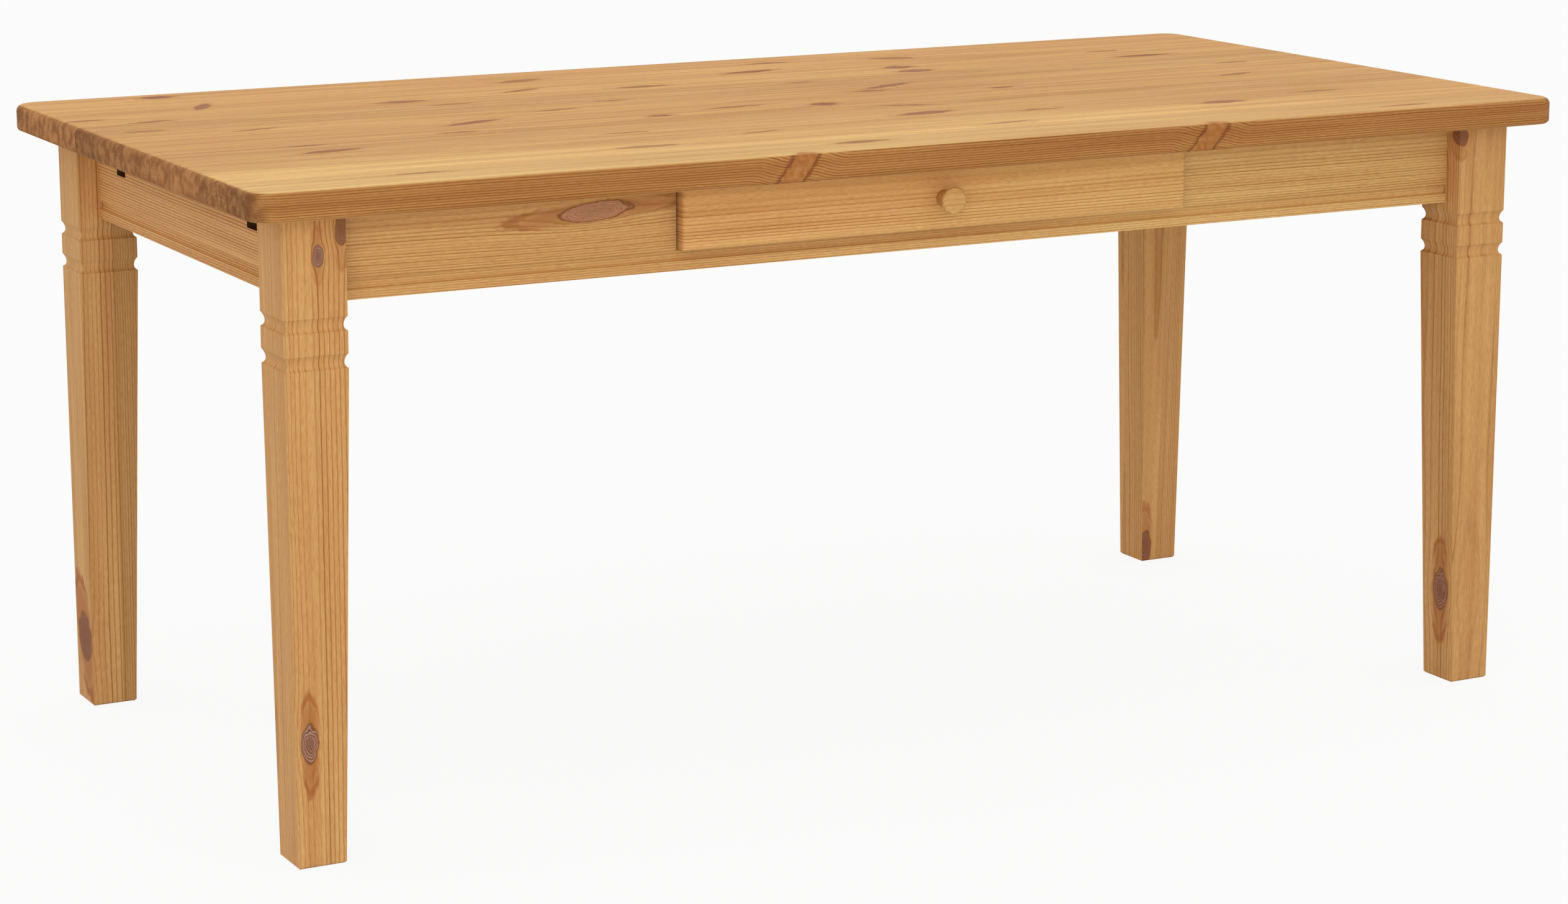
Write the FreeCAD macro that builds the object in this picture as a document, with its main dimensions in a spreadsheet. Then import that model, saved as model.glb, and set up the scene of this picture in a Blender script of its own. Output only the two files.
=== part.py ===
import FreeCAD, Part
import math
import os
import Sketcher

# A pine dining table with one drawer in its front apron. Millimetres, +Z up, the drawer faces -Y,
# and the origin is on the floor under the middle of the top.

# Driving dimensions. Each has a cell of its own in the sheet.
SIZES = {
    # overall
    "table_length": 1710,
    "table_width": 860,
    "table_height": 750,
    # top panel
    "top_thickness": 32,
    "top_overhang": 45,
    "top_corner_radius": 30,
    "top_upper_round": 8,
    "top_lower_round": 5,
    # legs: straight down to the second cove, then tapered on the two inner faces
    "leg_width": 72,
    "foot_width": 56,
    "foot_chamfer": 2,
    "leg_cove_depth": 3.6,
    "leg_cove_rise": 10,
    "leg_cove_fall": 6,
    "leg_cove_drop": 21.5,
    "leg_cove_spacing": 40.5,
    "leg_flat_cut": 14,
    # aprons
    "apron_height": 100,
    "apron_thickness": 20,
    "apron_setback": 26,
    "apron_band": 11,
    "apron_cove_rise": 8,
    "apron_cove_fall": 4,
    "apron_cove_depth": 5,
    "tenon_length": 12,
    "tenon_thickness": 10,
    "tenon_shoulder": 24,
    "joint_clearance": 0.2,
    # notches in the end aprons for the battens of a leaf
    "leaf_notch_width": 31,
    "leaf_notch_depth": 38,
    "leaf_notch_offset": 224,
    # corner blocks and the bolts that draw the legs onto them
    "block_thickness": 32,
    "block_height": 70,
    "bolt_diameter": 8,
    "bolt_reach": 45,
    "bolt_spare": 4,
    "bolt_clearance": 0.1,
    "nut_across_corners": 15,
    "nut_height": 6.5,
    "washer_diameter": 20,
    "washer_thickness": 1.6,
    # buttons that hold the top down
    "button_groove_drop": 12,
    "button_groove_height": 10,
    "button_groove_depth": 8,
    "button_tongue": 6.5,
    "button_length": 36,
    "button_width": 32,
    "button_offset_long": 510,
    "button_offset_short": 90,
    # drawer
    "drawer_front_width": 670,
    "drawer_front_thickness": 19,
    "drawer_front_round": 5.5,
    "drawer_front_lift": 1,
    "drawer_top_gap": 2,
    "drawer_overlap": 10,
    "drawer_length": 420,
    "drawer_side_thickness": 12,
    "drawer_side_clearance": 1,
    "drawer_opening_clearance": 1.5,
    "drawer_running_gap": 0.3,
    "drawer_back_drop": 5,
    "drawer_bottom_thickness": 4,
    "drawer_bottom_rise": 8,
    "drawer_bottom_groove": 5,
    "drawer_side_housing": 8,
    "drawer_back_housing": 4,
    "drawer_back_inset": 10,
    # guides and runners that carry the drawer
    "guide_thickness": 20,
    "guide_housing": 6,
    "runner_width": 16,
    "runner_height": 16,
    # turned knob
    "knob_diameter": 32,
    "knob_base_diameter": 20,
    "knob_length": 26,
    "knob_foot": 6,
    "knob_rim": 4,
    "knob_edge": 1.5,
    "knob_spigot_diameter": 10,
    "knob_spigot_length": 12,
    "knob_clearance": 0.1,
}

SIDES = (-1, 1)
ROOT_TWO = math.sqrt(2)
ACROSS = 45
NEAR = 1e-6
UP = FreeCAD.Vector(0, 0, 1)

# The four corners: name, side along X, side along Y and the turn of a piece made for the front left
CORNERS = (
    ("front_left", -1, -1, 0),
    ("front_right", 1, -1, 90),
    ("back_right", 1, 1, 180),
    ("back_left", -1, 1, 270),
)
SIDE_NAMES = (("left", -1), ("right", 1))


class Size:
    """A length that keeps its value and the sheet expression that gives it."""

    def __init__(self, value, text):
        self.value = float(value)
        self.text = text

    def __add__(self, other):
        other = as_size(other)
        return Size(self.value + other.value, f"({self.text} + {other.text})")

    def __sub__(self, other):
        other = as_size(other)
        return Size(self.value - other.value, f"({self.text} - {other.text})")

    def __mul__(self, other):
        other = as_size(other)
        return Size(self.value * other.value, f"({self.text} * {other.text})")

    def __truediv__(self, other):
        other = as_size(other)
        return Size(self.value / other.value, f"({self.text} / {other.text})")

    def __neg__(self):
        return Size(0, "(0)") - self

    def __radd__(self, other):
        return as_size(other) + self

    def __rsub__(self, other):
        return as_size(other) - self

    def __rmul__(self, other):
        return as_size(other) * self


def as_size(thing):
    """Plain numbers become sizes, so that both can be added and bound alike."""
    if isinstance(thing, Size):
        return thing
    return Size(thing, f"({thing})")


doc = FreeCAD.newDocument("tavern_table")
sheet = doc.addObject("Spreadsheet::Sheet", "Sizes")


class Sizes:
    """The sheet's cells by name."""


def fill_sheet():
    """One row per size: its name, its number and the alias that expressions use."""
    for row, (alias, number) in enumerate(SIZES.items(), start=1):
        sheet.set(f"A{row}", alias)
        sheet.set(f"B{row}", str(number))
        sheet.setAlias(f"B{row}", alias)
        setattr(Sizes, alias, Size(number, f"Sizes.{alias}"))
    doc.recompute()


fill_sheet()
s = Sizes

# Levels and places that several pieces share
underside = s.table_height - s.top_thickness
apron_bottom = underside - s.apron_height
frame_x = s.table_length / 2 - s.top_overhang
frame_y = s.table_width / 2 - s.top_overhang
apron_inner = s.apron_setback + s.apron_thickness
upper_cove = apron_bottom - s.leg_cove_drop
lower_cove = upper_cove - s.leg_cove_spacing
taper_start = lower_cove - s.leg_cove_fall

# Corner blocks lie across the corner, from the planed flat of the leg to the aprons' inner faces
flat_place = s.leg_width - s.leg_flat_cut / 2
block_half = (flat_place - apron_inner) * ROOT_TWO
block_bottom = underside - s.block_height
block_middle = underside - s.block_height / 2

# Drawer levels, from the apron's cove upwards
apron_cove = s.apron_band + s.apron_cove_fall
drawer_front_bottom = apron_bottom + apron_cove + s.apron_cove_rise + s.drawer_front_lift
drawer_front_top = underside - s.drawer_top_gap
drawer_front_height = drawer_front_top - drawer_front_bottom
opening_bottom = drawer_front_bottom + s.drawer_overlap
opening_half = s.drawer_front_width / 2 - s.drawer_overlap
drawer_side_bottom = opening_bottom + s.drawer_opening_clearance
drawer_side_height = drawer_front_top - drawer_side_bottom
drawer_side_outer = opening_half - s.drawer_side_clearance
drawer_side_inner = drawer_side_outer - s.drawer_side_thickness
drawer_bottom_level = drawer_side_bottom + s.drawer_bottom_rise
drawer_back_bottom = drawer_bottom_level + s.drawer_bottom_thickness
drawer_back_height = drawer_front_top - s.drawer_back_drop - drawer_back_bottom
drawer_plane = -frame_y + s.apron_setback - s.drawer_running_gap
drawer_rear = drawer_plane + s.drawer_length
drawer_back_line = drawer_rear - s.drawer_back_inset - s.drawer_side_thickness
runner_top = drawer_side_bottom - s.drawer_running_gap
runner_bottom = runner_top - s.runner_height
span_half = frame_y - apron_inner
knob_level = (drawer_front_bottom + drawer_front_top) / 2
button_foot = s.button_groove_drop + s.button_groove_height - s.joint_clearance
bolt_hole = s.bolt_diameter / 2 + s.bolt_clearance
knob_hole = s.knob_spigot_diameter / 2 + s.knob_clearance


def bind(thing, prop, size):
    """Ties a property to the sheet."""
    thing.setExpression(prop, as_size(size).text)


def place(thing, x, y, z, rotation=None):
    """Turns a piece and ties its position to the sheet."""
    thing.Placement = FreeCAD.Placement(FreeCAD.Vector(), rotation or FreeCAD.Rotation())
    for axis, size in zip("xyz", (x, y, z)):
        bind(thing, f"Placement.Base.{axis}", size)


def turned(angle):
    """A turn about the upright axis."""
    return FreeCAD.Rotation(UP, angle)


def pointed(x, y, z):
    """The turn that lays the upright axis along a direction."""
    return FreeCAD.Rotation(UP, FreeCAD.Vector(x, y, z))


def new_body(label):
    body = doc.addObject("PartDesign::Body", label)
    body.Label = label
    return body


def new_sketch(body, name, role):
    """A sketch on one of the body's own origin planes."""
    sketch = body.newObject("Sketcher::SketchObject", name)
    plane = next(feature for feature in body.Origin.OriginFeatures if feature.Role == role)
    sketch.AttachmentSupport = [(plane, "")]
    sketch.MapMode = "FlatFace"
    return sketch


def fix_point(sketch, edge, end, x, y):
    """Holds one point of a sketch at its distances from the origin."""
    for kind, axis, size in (("DistanceX", -2, x), ("DistanceY", -1, y)):
        size = as_size(size)
        if size.value == 0:
            sketch.addConstraint(Sketcher.Constraint("PointOnObject", edge, end, axis))
            continue
        index = sketch.addConstraint(Sketcher.Constraint(kind, -1, 1, edge, end, size.value))
        bind(sketch, f"Constraints[{index}]", size)


def fix_radius(sketch, edge, radius):
    index = sketch.addConstraint(Sketcher.Constraint("Radius", edge, radius.value))
    bind(sketch, f"Constraints[{index}]", radius)


def outline(sketch, corners):
    """A closed outline. A corner is (x, y), or (x, y, radius) where an arc that turns left arrives at it."""
    edges = []
    for before, corner in zip(corners[-1:] + corners[:-1], corners):
        start = FreeCAD.Vector(as_size(before[0]).value, as_size(before[1]).value, 0)
        stop = FreeCAD.Vector(as_size(corner[0]).value, as_size(corner[1]).value, 0)
        curve = Part.LineSegment(start, stop)
        if len(corner) == 3:
            chord = stop - start
            radius = corner[2].value
            left = FreeCAD.Vector(-chord.y, chord.x, 0).normalize()
            height = math.sqrt(max(radius ** 2 - (chord.Length / 2) ** 2, 0))
            curve = Part.Arc(start, start + chord / 2 + left * (height - radius), stop)
        edges.append(sketch.addGeometry(curve))
    for edge, following in zip(edges, edges[1:] + edges[:1]):
        sketch.addConstraint(Sketcher.Constraint("Coincident", edge, 2, following, 1))
    for edge, corner in zip(edges, corners):
        fix_point(sketch, edge, 2, corner[0], corner[1])
        if len(corner) == 3:
            fix_radius(sketch, edge, corner[2])


def rectangle(sketch, low_x, low_y, high_x, high_y):
    outline(sketch, [(low_x, low_y), (high_x, low_y), (high_x, high_y), (low_x, high_y)])


def pad(body, sketch, length, backwards=False, both_ways=False):
    feature = body.newObject("PartDesign::Pad", f"{sketch.Name}_pad")
    feature.Profile = sketch
    feature.Reversed = backwards
    feature.SideType = "Symmetric" if both_ways else "One side"
    bind(feature, "Length", length)
    return feature


def cut_through(body, sketch):
    """Cuts a sketch right through the body, to both sides of its plane."""
    feature = body.newObject("PartDesign::Pocket", f"{sketch.Name}_cut")
    feature.Profile = sketch
    feature.SideType = "Symmetric"
    feature.Type = "ThroughAll"
    return feature


def revolve(body, sketch):
    """Turns a sketch about the body's upright axis."""
    feature = body.newObject("PartDesign::Revolution", f"{sketch.Name}_turning")
    feature.Profile = sketch
    feature.ReferenceAxis = (sketch, ["V_Axis"])
    feature.Angle = 360
    return feature


def block_feature(body, name, kind, low, high):
    """A square-edged tongue or recess between two corners."""
    feature = body.newObject(f"PartDesign::{kind}Box", name)
    for prop, start, stop in zip(("Length", "Width", "Height"), low, high):
        bind(feature, prop, as_size(stop) - start)
    place(feature, *low)


def recess(body, name, low, high):
    block_feature(body, name, "Subtractive", low, high)


def tongue(body, name, low, high):
    block_feature(body, name, "Additive", low, high)


def drill(body, name, start, direction, radius, depth):
    """A round hole from a point along a direction."""
    hole = body.newObject("PartDesign::SubtractiveCylinder", name)
    bind(hole, "Radius", radius)
    bind(hole, "Height", depth)
    place(hole, *start, pointed(*direction))


def dress_edges(body, name, kind, feature, size, chosen):
    """A Fillet or Chamfer of the edges that the test picks."""
    doc.recompute()
    names = [f"Edge{number}" for number, edge in enumerate(feature.Shape.Edges, start=1) if chosen(edge)]
    dressed = body.newObject(f"PartDesign::{kind}", name)
    dressed.Base = (feature, names)
    bind(dressed, "Radius" if kind == "Fillet" else "Size", size)
    return dressed


def flat_at(axis, level):
    """A test for edges that lie wholly at one level of an axis."""
    def test(edge):
        box = edge.BoundBox
        low, high = getattr(box, f"{axis}Min"), getattr(box, f"{axis}Max")
        return abs(low - level.value) < NEAR and abs(high - level.value) < NEAR
    return test


def copies(label, piece, places):
    """A group of like pieces: each place is (x, y, z, rotation)."""
    links = []
    for number, (x, y, z, rotation) in enumerate(places, start=1):
        link = doc.addObject("App::Link", f"{label}_{number}")
        link.LinkedObject = piece
        place(link, x, y, z, rotation)
        links.append(link)
    group = doc.addObject("Part::Compound", label)
    group.Label = label
    group.Links = links
    return group


def arc_radius(rise, depth):
    """The radius of an arc that ends upright after the given rise and depth."""
    return (rise * rise + depth * depth) / (depth * 2)


def cove_cut(sketch, face, inwards, level, depth, rise, fall):
    """A cove in an upright face: a long curve above its deepest line and a short one below."""
    upper = (face, level + rise)
    deepest = (face + depth * inwards, level)
    lower = (face, level - fall)
    long_radius = arc_radius(rise, depth)
    short_radius = arc_radius(fall, depth)
    if inwards > 0:
        outline(sketch, [lower, deepest + (short_radius,), upper + (long_radius,)])
    else:
        outline(sketch, [upper, deepest + (long_radius,), lower + (short_radius,)])


def button_places():
    """Two buttons on each apron: their place on its inner face and their turn."""
    places = []
    for side in SIDES:
        for along in SIDES:
            places.append((along * s.button_offset_long, side * span_half, 90 + 90 * side))
            places.append((side * (frame_x - apron_inner), along * s.button_offset_short, 90 * side))
    return places


def make_top():
    """The panel: rounded corners, a full round above and a small one below."""
    body = new_body("table_top")
    place(body, 0, 0, underside)
    sketch = new_sketch(body, "top_outline", "XY_Plane")
    x, y, r = s.table_length / 2, s.table_width / 2, s.top_corner_radius
    outline(sketch, [
        (r - x, -y, r), (x - r, -y), (x, r - y, r), (x, y - r),
        (x - r, y, r), (r - x, y), (-x, y - r, r), (-x, r - y)])
    panel = pad(body, sketch, s.top_thickness)
    at_top = flat_at("Z", s.top_thickness)
    upper = dress_edges(body, "top_upper_arris", "Fillet", panel, s.top_upper_round, at_top)
    dress_edges(body, "top_lower_arris", "Fillet", upper, s.top_lower_round, flat_at("Z", as_size(0)))
    return body


def make_leg(corner, x_side, y_side, turn):
    """A leg, drawn with its outer corner at the origin: tapered inside, coved all round, planed inside."""
    label = f"leg_{corner}"
    body = new_body(label)
    place(body, x_side * frame_x, y_side * frame_y, 0, turned(turn))
    width = s.leg_width
    square = new_sketch(body, f"{label}_square", "XY_Plane")
    rectangle(square, 0, 0, width, width)
    pad(body, square, underside)
    for role in ("XZ_Plane", "YZ_Plane"):
        taper = new_sketch(body, f"{label}_taper_{role}", role)
        outline(taper, [(s.foot_width, 0), (width, 0), (width, taper_start)])
        tapered = cut_through(body, taper)
    dress_edges(body, f"{label}_foot", "Chamfer", tapered, s.foot_chamfer, flat_at("Z", as_size(0)))
    for role in ("XZ_Plane", "YZ_Plane"):
        coves = new_sketch(body, f"{label}_coves_{role}", role)
        for level in (upper_cove, lower_cove):
            for face, inwards in ((as_size(0), 1), (width, -1)):
                cove_cut(coves, face, inwards, level, s.leg_cove_depth, s.leg_cove_rise, s.leg_cove_fall)
        cut_through(body, coves)
    cut_leg_joints(body, label)
    return body


def cut_leg_joints(body, label):
    """Mortises for the two aprons, the planed flat of the inner corner and the bolt hole in it."""
    near = s.apron_setback + (s.apron_thickness - s.tenon_thickness) / 2 - s.joint_clearance
    far = near + s.tenon_thickness + s.joint_clearance * 2
    floor = s.leg_width - s.tenon_length - s.joint_clearance
    low = apron_bottom + s.tenon_shoulder - s.joint_clearance
    high = underside - s.tenon_shoulder + s.joint_clearance
    recess(body, f"{label}_mortise_long", (floor, near, low), (s.leg_width, far, high))
    recess(body, f"{label}_mortise_short", (near, floor, low), (far, s.leg_width, high))
    skew = s.leg_flat_cut / ROOT_TWO
    flat = body.newObject("PartDesign::SubtractiveBox", f"{label}_flat")
    bind(flat, "Length", s.leg_flat_cut)
    bind(flat, "Width", s.leg_flat_cut * 2)
    bind(flat, "Height", s.block_height)
    place(flat, flat_place + skew, flat_place - skew, block_bottom, turned(ACROSS))
    start = (flat_place, flat_place, block_middle)
    drill(body, f"{label}_bolt_hole", start, (-1, -1, 0), bolt_hole, s.bolt_reach + s.bolt_clearance)


def make_apron(name, half_frame, x, y, turn, notches, housed):
    """An apron board, drawn with its face on the XZ plane: coved, notched, grooved inside and tenoned."""
    label = f"apron_{name}"
    body = new_body(label)
    place(body, x, y, apron_bottom, turned(turn))
    half = half_frame - s.leg_width
    height, thickness = s.apron_height, s.apron_thickness
    board = new_sketch(body, f"{label}_board", "XZ_Plane")
    rectangle(board, -half, 0, half, height)
    pad(body, board, thickness, backwards=True)
    mould = new_sketch(body, f"{label}_mould", "YZ_Plane")
    cove_cut(mould, as_size(0), 1, apron_cove, s.apron_cove_depth, s.apron_cove_rise, s.apron_cove_fall)
    groove_floor = thickness - s.button_groove_depth
    groove_top = height - s.button_groove_drop
    rectangle(mould, groove_floor, groove_top - s.button_groove_height, thickness, groove_top)
    cut_through(body, mould)
    if notches:
        sketch = new_sketch(body, f"{label}_notches", "XZ_Plane")
        for middle, reach, floor in notches:
            rectangle(sketch, middle - reach, floor, middle + reach, height)
        cut_through(body, sketch)
    tenon_face = (thickness - s.tenon_thickness) / 2
    for side_name, side in SIDE_NAMES:
        start = half if side > 0 else -half - s.tenon_length
        tongue(body, f"{label}_tenon_{side_name}", (start, tenon_face, s.tenon_shoulder),
               (start + s.tenon_length, tenon_face + s.tenon_thickness, height - s.tenon_shoulder))
        if housed:
            inner = opening_half if side > 0 else -opening_half - s.guide_thickness
            recess(body, f"{label}_housing_{side_name}",
                   (inner - s.joint_clearance, thickness - s.guide_housing, runner_bottom - apron_bottom),
                   (inner + s.guide_thickness + s.joint_clearance, thickness, height))
    return body


def make_aprons():
    """Front with the drawer's opening, plain back, and the ends with their two leaf notches."""
    opening = [(as_size(0), opening_half, opening_bottom - apron_bottom)]
    leaf_floor = s.apron_height - s.leaf_notch_depth
    leaf = [(side * s.leaf_notch_offset, s.leaf_notch_width / 2, leaf_floor) for side in SIDES]
    long_line, short_line = frame_y - s.apron_setback, frame_x - s.apron_setback
    return [
        make_apron("front", frame_x, 0, -long_line, 0, opening, True),
        make_apron("back", frame_x, 0, long_line, 180, [], True),
        make_apron("left", frame_y, -short_line, 0, -90, leaf, False),
        make_apron("right", frame_y, short_line, 0, 90, leaf, False),
    ]


def make_corner_block(corner, x_side, y_side, turn):
    """A block across the corner, drawn with its outer face on the YZ plane, its ends against the aprons."""
    label = f"corner_block_{corner}"
    body = new_body(label)
    x, y = x_side * (frame_x - flat_place), y_side * (frame_y - flat_place)
    place(body, x, y, block_bottom, turned(turn + ACROSS))
    plan = new_sketch(body, f"{label}_plan", "XY_Plane")
    inner_half = block_half + s.block_thickness
    inner = s.block_thickness
    outline(plan, [(0, -block_half), (inner, -inner_half), (inner, inner_half), (0, block_half)])
    pad(body, plan, s.block_height)
    drill(body, f"{label}_bolt_hole", (0, 0, s.block_height / 2), (1, 0, 0), bolt_hole, s.block_thickness)
    return body


def make_hanger_bolts():
    """Bolts from the legs through the blocks, each with a washer and a nut on the block's inner face."""
    bolt = new_body("hanger_bolt")
    profile = new_sketch(bolt, "hanger_bolt_profile", "XZ_Plane")
    radius = s.bolt_diameter / 2
    end = s.block_thickness + s.washer_thickness + s.nut_height + s.bolt_spare
    outline(profile, [(0, -s.bolt_reach), (radius, s.bolt_diameter - s.bolt_reach), (radius, end), (0, end)])
    revolve(bolt, profile)
    washer = new_body("hanger_washer")
    ring = new_sketch(washer, "hanger_washer_profile", "XZ_Plane")
    rectangle(ring, bolt_hole, 0, s.washer_diameter / 2, s.washer_thickness)
    revolve(washer, ring)
    nut = new_body("hanger_nut")
    hexagon = new_sketch(nut, "hanger_nut_outline", "XY_Plane")
    corner = s.nut_across_corners / 2
    half_flat = corner * round(math.sqrt(3) / 2, 9)
    outline(hexagon, [(corner, 0), (corner / 2, half_flat), (-corner / 2, half_flat),
                      (-corner, 0), (-corner / 2, -half_flat), (corner / 2, -half_flat)])
    pad(nut, hexagon, s.nut_height)
    drill(nut, "hanger_nut_bore", (0, 0, 0), (0, 0, 1), bolt_hole, s.nut_height)
    washer_step = s.block_thickness / ROOT_TWO
    nut_step = washer_step + s.washer_thickness / ROOT_TWO
    groups = []
    for label, piece, step in (("hanger_bolts", bolt, as_size(0)), ("hanger_washers", washer, washer_step),
                               ("hanger_nuts", nut, nut_step)):
        places = []
        reach = flat_place + step
        for corner_name, x_side, y_side, turn in CORNERS:
            inwards = pointed(-x_side, -y_side, 0)
            places.append((x_side * (frame_x - reach), y_side * (frame_y - reach), block_middle, inwards))
        groups.append(copies(label, piece, places))
    return groups


def make_buttons():
    """Wooden buttons: a tongue in the apron's groove and a pad under the top."""
    button = new_body("top_button")
    profile = new_sketch(button, "top_button_profile", "YZ_Plane")
    tongue_top = -s.button_groove_drop - s.joint_clearance
    outline(profile, [
        (-s.button_tongue, -button_foot), (s.button_length, -button_foot), (s.button_length, 0),
        (s.joint_clearance, 0), (s.joint_clearance, tongue_top), (-s.button_tongue, tongue_top)])
    pad(button, profile, s.button_width, both_ways=True)
    places = [(x, y, underside, turned(turn)) for x, y, turn in button_places()]
    return copies("top_buttons", button, places)


def make_guide(name, side):
    """An upright board housed in the front and back aprons, beside the drawer."""
    label = f"drawer_guide_{name}"
    body = new_body(label)
    place(body, opening_half if side > 0 else -opening_half - s.guide_thickness, 0, 0)
    face = new_sketch(body, f"{label}_face", "YZ_Plane")
    reach = span_half + s.guide_housing - s.joint_clearance
    rectangle(face, -reach, runner_bottom, reach, underside)
    pad(body, face, s.guide_thickness)
    return body


def make_runner(name, side):
    """The strip on the guide that the drawer's side slides on."""
    label = f"drawer_runner_{name}"
    body = new_body(label)
    place(body, opening_half - s.runner_width if side > 0 else -opening_half, 0, runner_bottom)
    section = new_sketch(body, f"{label}_section", "XZ_Plane")
    rectangle(section, 0, 0, s.runner_width, s.runner_height)
    pad(body, section, span_half * 2, both_ways=True)
    return body


def make_drawer_front():
    """The proud front: round face edges, housings for the sides, a groove for the bottom, the knob's hole."""
    body = new_body("drawer_front")
    place(body, 0, drawer_plane - s.drawer_front_thickness, drawer_front_bottom)
    half, thickness = s.drawer_front_width / 2, s.drawer_front_thickness
    face = new_sketch(body, "drawer_front_face", "XZ_Plane")
    rectangle(face, -half, 0, half, drawer_front_height)
    board = pad(body, face, thickness, backwards=True)
    dress_edges(body, "drawer_front_edge", "Fillet", board, s.drawer_front_round, flat_at("Y", as_size(0)))
    level = drawer_bottom_level - drawer_front_bottom
    groove_top = level + s.drawer_bottom_thickness + s.joint_clearance
    recess(body, "drawer_front_groove", (-drawer_side_inner, thickness - s.drawer_bottom_groove, level),
           (drawer_side_inner, thickness, groove_top))
    housing_floor = thickness - s.drawer_side_housing
    housing_bottom = drawer_side_bottom - drawer_front_bottom
    for name, side in SIDE_NAMES:
        low = (drawer_side_inner if side > 0 else -drawer_side_outer) - s.joint_clearance
        high = low + s.drawer_side_thickness + s.joint_clearance * 2
        recess(body, f"drawer_front_housing_{name}", (low, housing_floor, housing_bottom),
               (high, thickness, drawer_front_height))
    start = (0, 0, knob_level - drawer_front_bottom)
    depth = s.knob_spigot_length + s.knob_clearance
    drill(body, "drawer_front_knob_hole", start, (0, 1, 0), knob_hole, depth)
    return body


def make_drawer_side(name, side):
    """A drawer side: housed in the front, grooved for the bottom and trenched for the back."""
    label = f"drawer_side_{name}"
    body = new_body(label)
    thickness = s.drawer_side_thickness
    place(body, drawer_side_inner if side > 0 else -drawer_side_outer, drawer_plane, drawer_side_bottom)
    face = new_sketch(body, f"{label}_face", "YZ_Plane")
    rectangle(face, -s.drawer_side_housing, 0, s.drawer_length, drawer_side_height)
    pad(body, face, thickness)
    groove_start = as_size(0) if side > 0 else thickness - s.drawer_bottom_groove
    groove_top = s.drawer_bottom_rise + s.drawer_bottom_thickness + s.joint_clearance
    recess(body, f"{label}_groove", (groove_start, -s.drawer_side_housing, s.drawer_bottom_rise),
           (groove_start + s.drawer_bottom_groove, s.drawer_length, groove_top))
    trench_start = as_size(0) if side > 0 else thickness - s.drawer_back_housing
    trench_near = drawer_back_line - drawer_plane - s.joint_clearance
    trench_far = trench_near + thickness + s.joint_clearance * 2
    recess(body, f"{label}_trench", (trench_start, trench_near, s.drawer_bottom_rise),
           (trench_start + s.drawer_back_housing, trench_far, drawer_side_height))
    return body


def make_drawer_back():
    """The back stands on the bottom panel, in the trenches of the sides."""
    body = new_body("drawer_back")
    place(body, 0, drawer_back_line, drawer_back_bottom)
    half = drawer_side_inner + s.drawer_back_housing
    face = new_sketch(body, "drawer_back_face", "XZ_Plane")
    rectangle(face, -half, 0, half, drawer_back_height)
    pad(body, face, s.drawer_side_thickness, backwards=True)
    return body


def make_drawer_bottom():
    """The thin panel in the grooves of the front and the sides, slid in under the back."""
    body = new_body("drawer_bottom")
    place(body, 0, drawer_plane, drawer_bottom_level)
    tuck = s.drawer_bottom_groove - s.joint_clearance
    plan = new_sketch(body, "drawer_bottom_plan", "XY_Plane")
    front_half, side_half = drawer_side_inner - s.joint_clearance, drawer_side_inner + tuck
    rear = s.drawer_length - s.drawer_back_inset
    outline(plan, [(-front_half, -tuck), (front_half, -tuck), (front_half, 0), (side_half, 0),
                   (side_half, rear), (-side_half, rear), (-side_half, 0), (-front_half, 0)])
    pad(body, plan, s.drawer_bottom_thickness)
    return body


def make_knob():
    """A turned knob: a spigot in the front, a flared neck and a flat head with a thin rim."""
    body = new_body("drawer_knob")
    place(body, 0, drawer_plane - s.drawer_front_thickness, knob_level, pointed(0, -1, 0))
    profile = new_sketch(body, "drawer_knob_profile", "XZ_Plane")
    head, base, spigot = s.knob_diameter / 2, s.knob_base_diameter / 2, s.knob_spigot_diameter / 2
    face = head - s.knob_edge
    rim = s.knob_length - s.knob_rim
    outline(profile, [
        (0, -s.knob_spigot_length), (spigot, -s.knob_spigot_length), (spigot, 0), (base, 0),
        (base, s.knob_foot), (head, rim), (head, s.knob_length - s.knob_edge),
        (face, s.knob_length), (0, s.knob_length)])
    revolve(body, profile)
    return body


def make_table():
    """The fixed pieces."""
    pieces = [make_top()]
    for corner in CORNERS:
        pieces.append(make_leg(*corner))
    pieces += make_aprons()
    for corner in CORNERS:
        pieces.append(make_corner_block(*corner))
    pieces += make_hanger_bolts()
    pieces.append(make_buttons())
    for name, side in SIDE_NAMES:
        pieces.append(make_guide(name, side))
        pieces.append(make_runner(name, side))
    return pieces


def make_drawer():
    """The pieces that slide out together."""
    pieces = [make_drawer_front()]
    for name, side in SIDE_NAMES:
        pieces.append(make_drawer_side(name, side))
    return pieces + [make_drawer_back(), make_drawer_bottom(), make_knob()]


def write_pieces(pieces):
    """Checks every object of the document and writes each piece to a file of its own."""
    doc.recompute()
    for thing in doc.Objects:
        if "Invalid" in thing.State or "Error" in thing.State:
            raise RuntimeError(f"{thing.Label} did not build: {thing.State}")
    os.makedirs("parts", exist_ok=True)
    for piece in pieces:
        if piece.Shape.isNull() or not piece.Shape.isValid():
            raise RuntimeError(f"{piece.Label} has no sound shape")
        piece.Shape.exportStep(f"parts/{piece.Label}.step")
        print(f"{piece.Label}: {len(piece.Shape.Solids)} solids, {piece.Shape.Volume / 1000:.1f} cm3")


write_pieces(make_table() + make_drawer())
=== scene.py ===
import math
from collections import namedtuple

import bmesh
import bpy
from mathutils import Euler, Matrix, Vector


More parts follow.
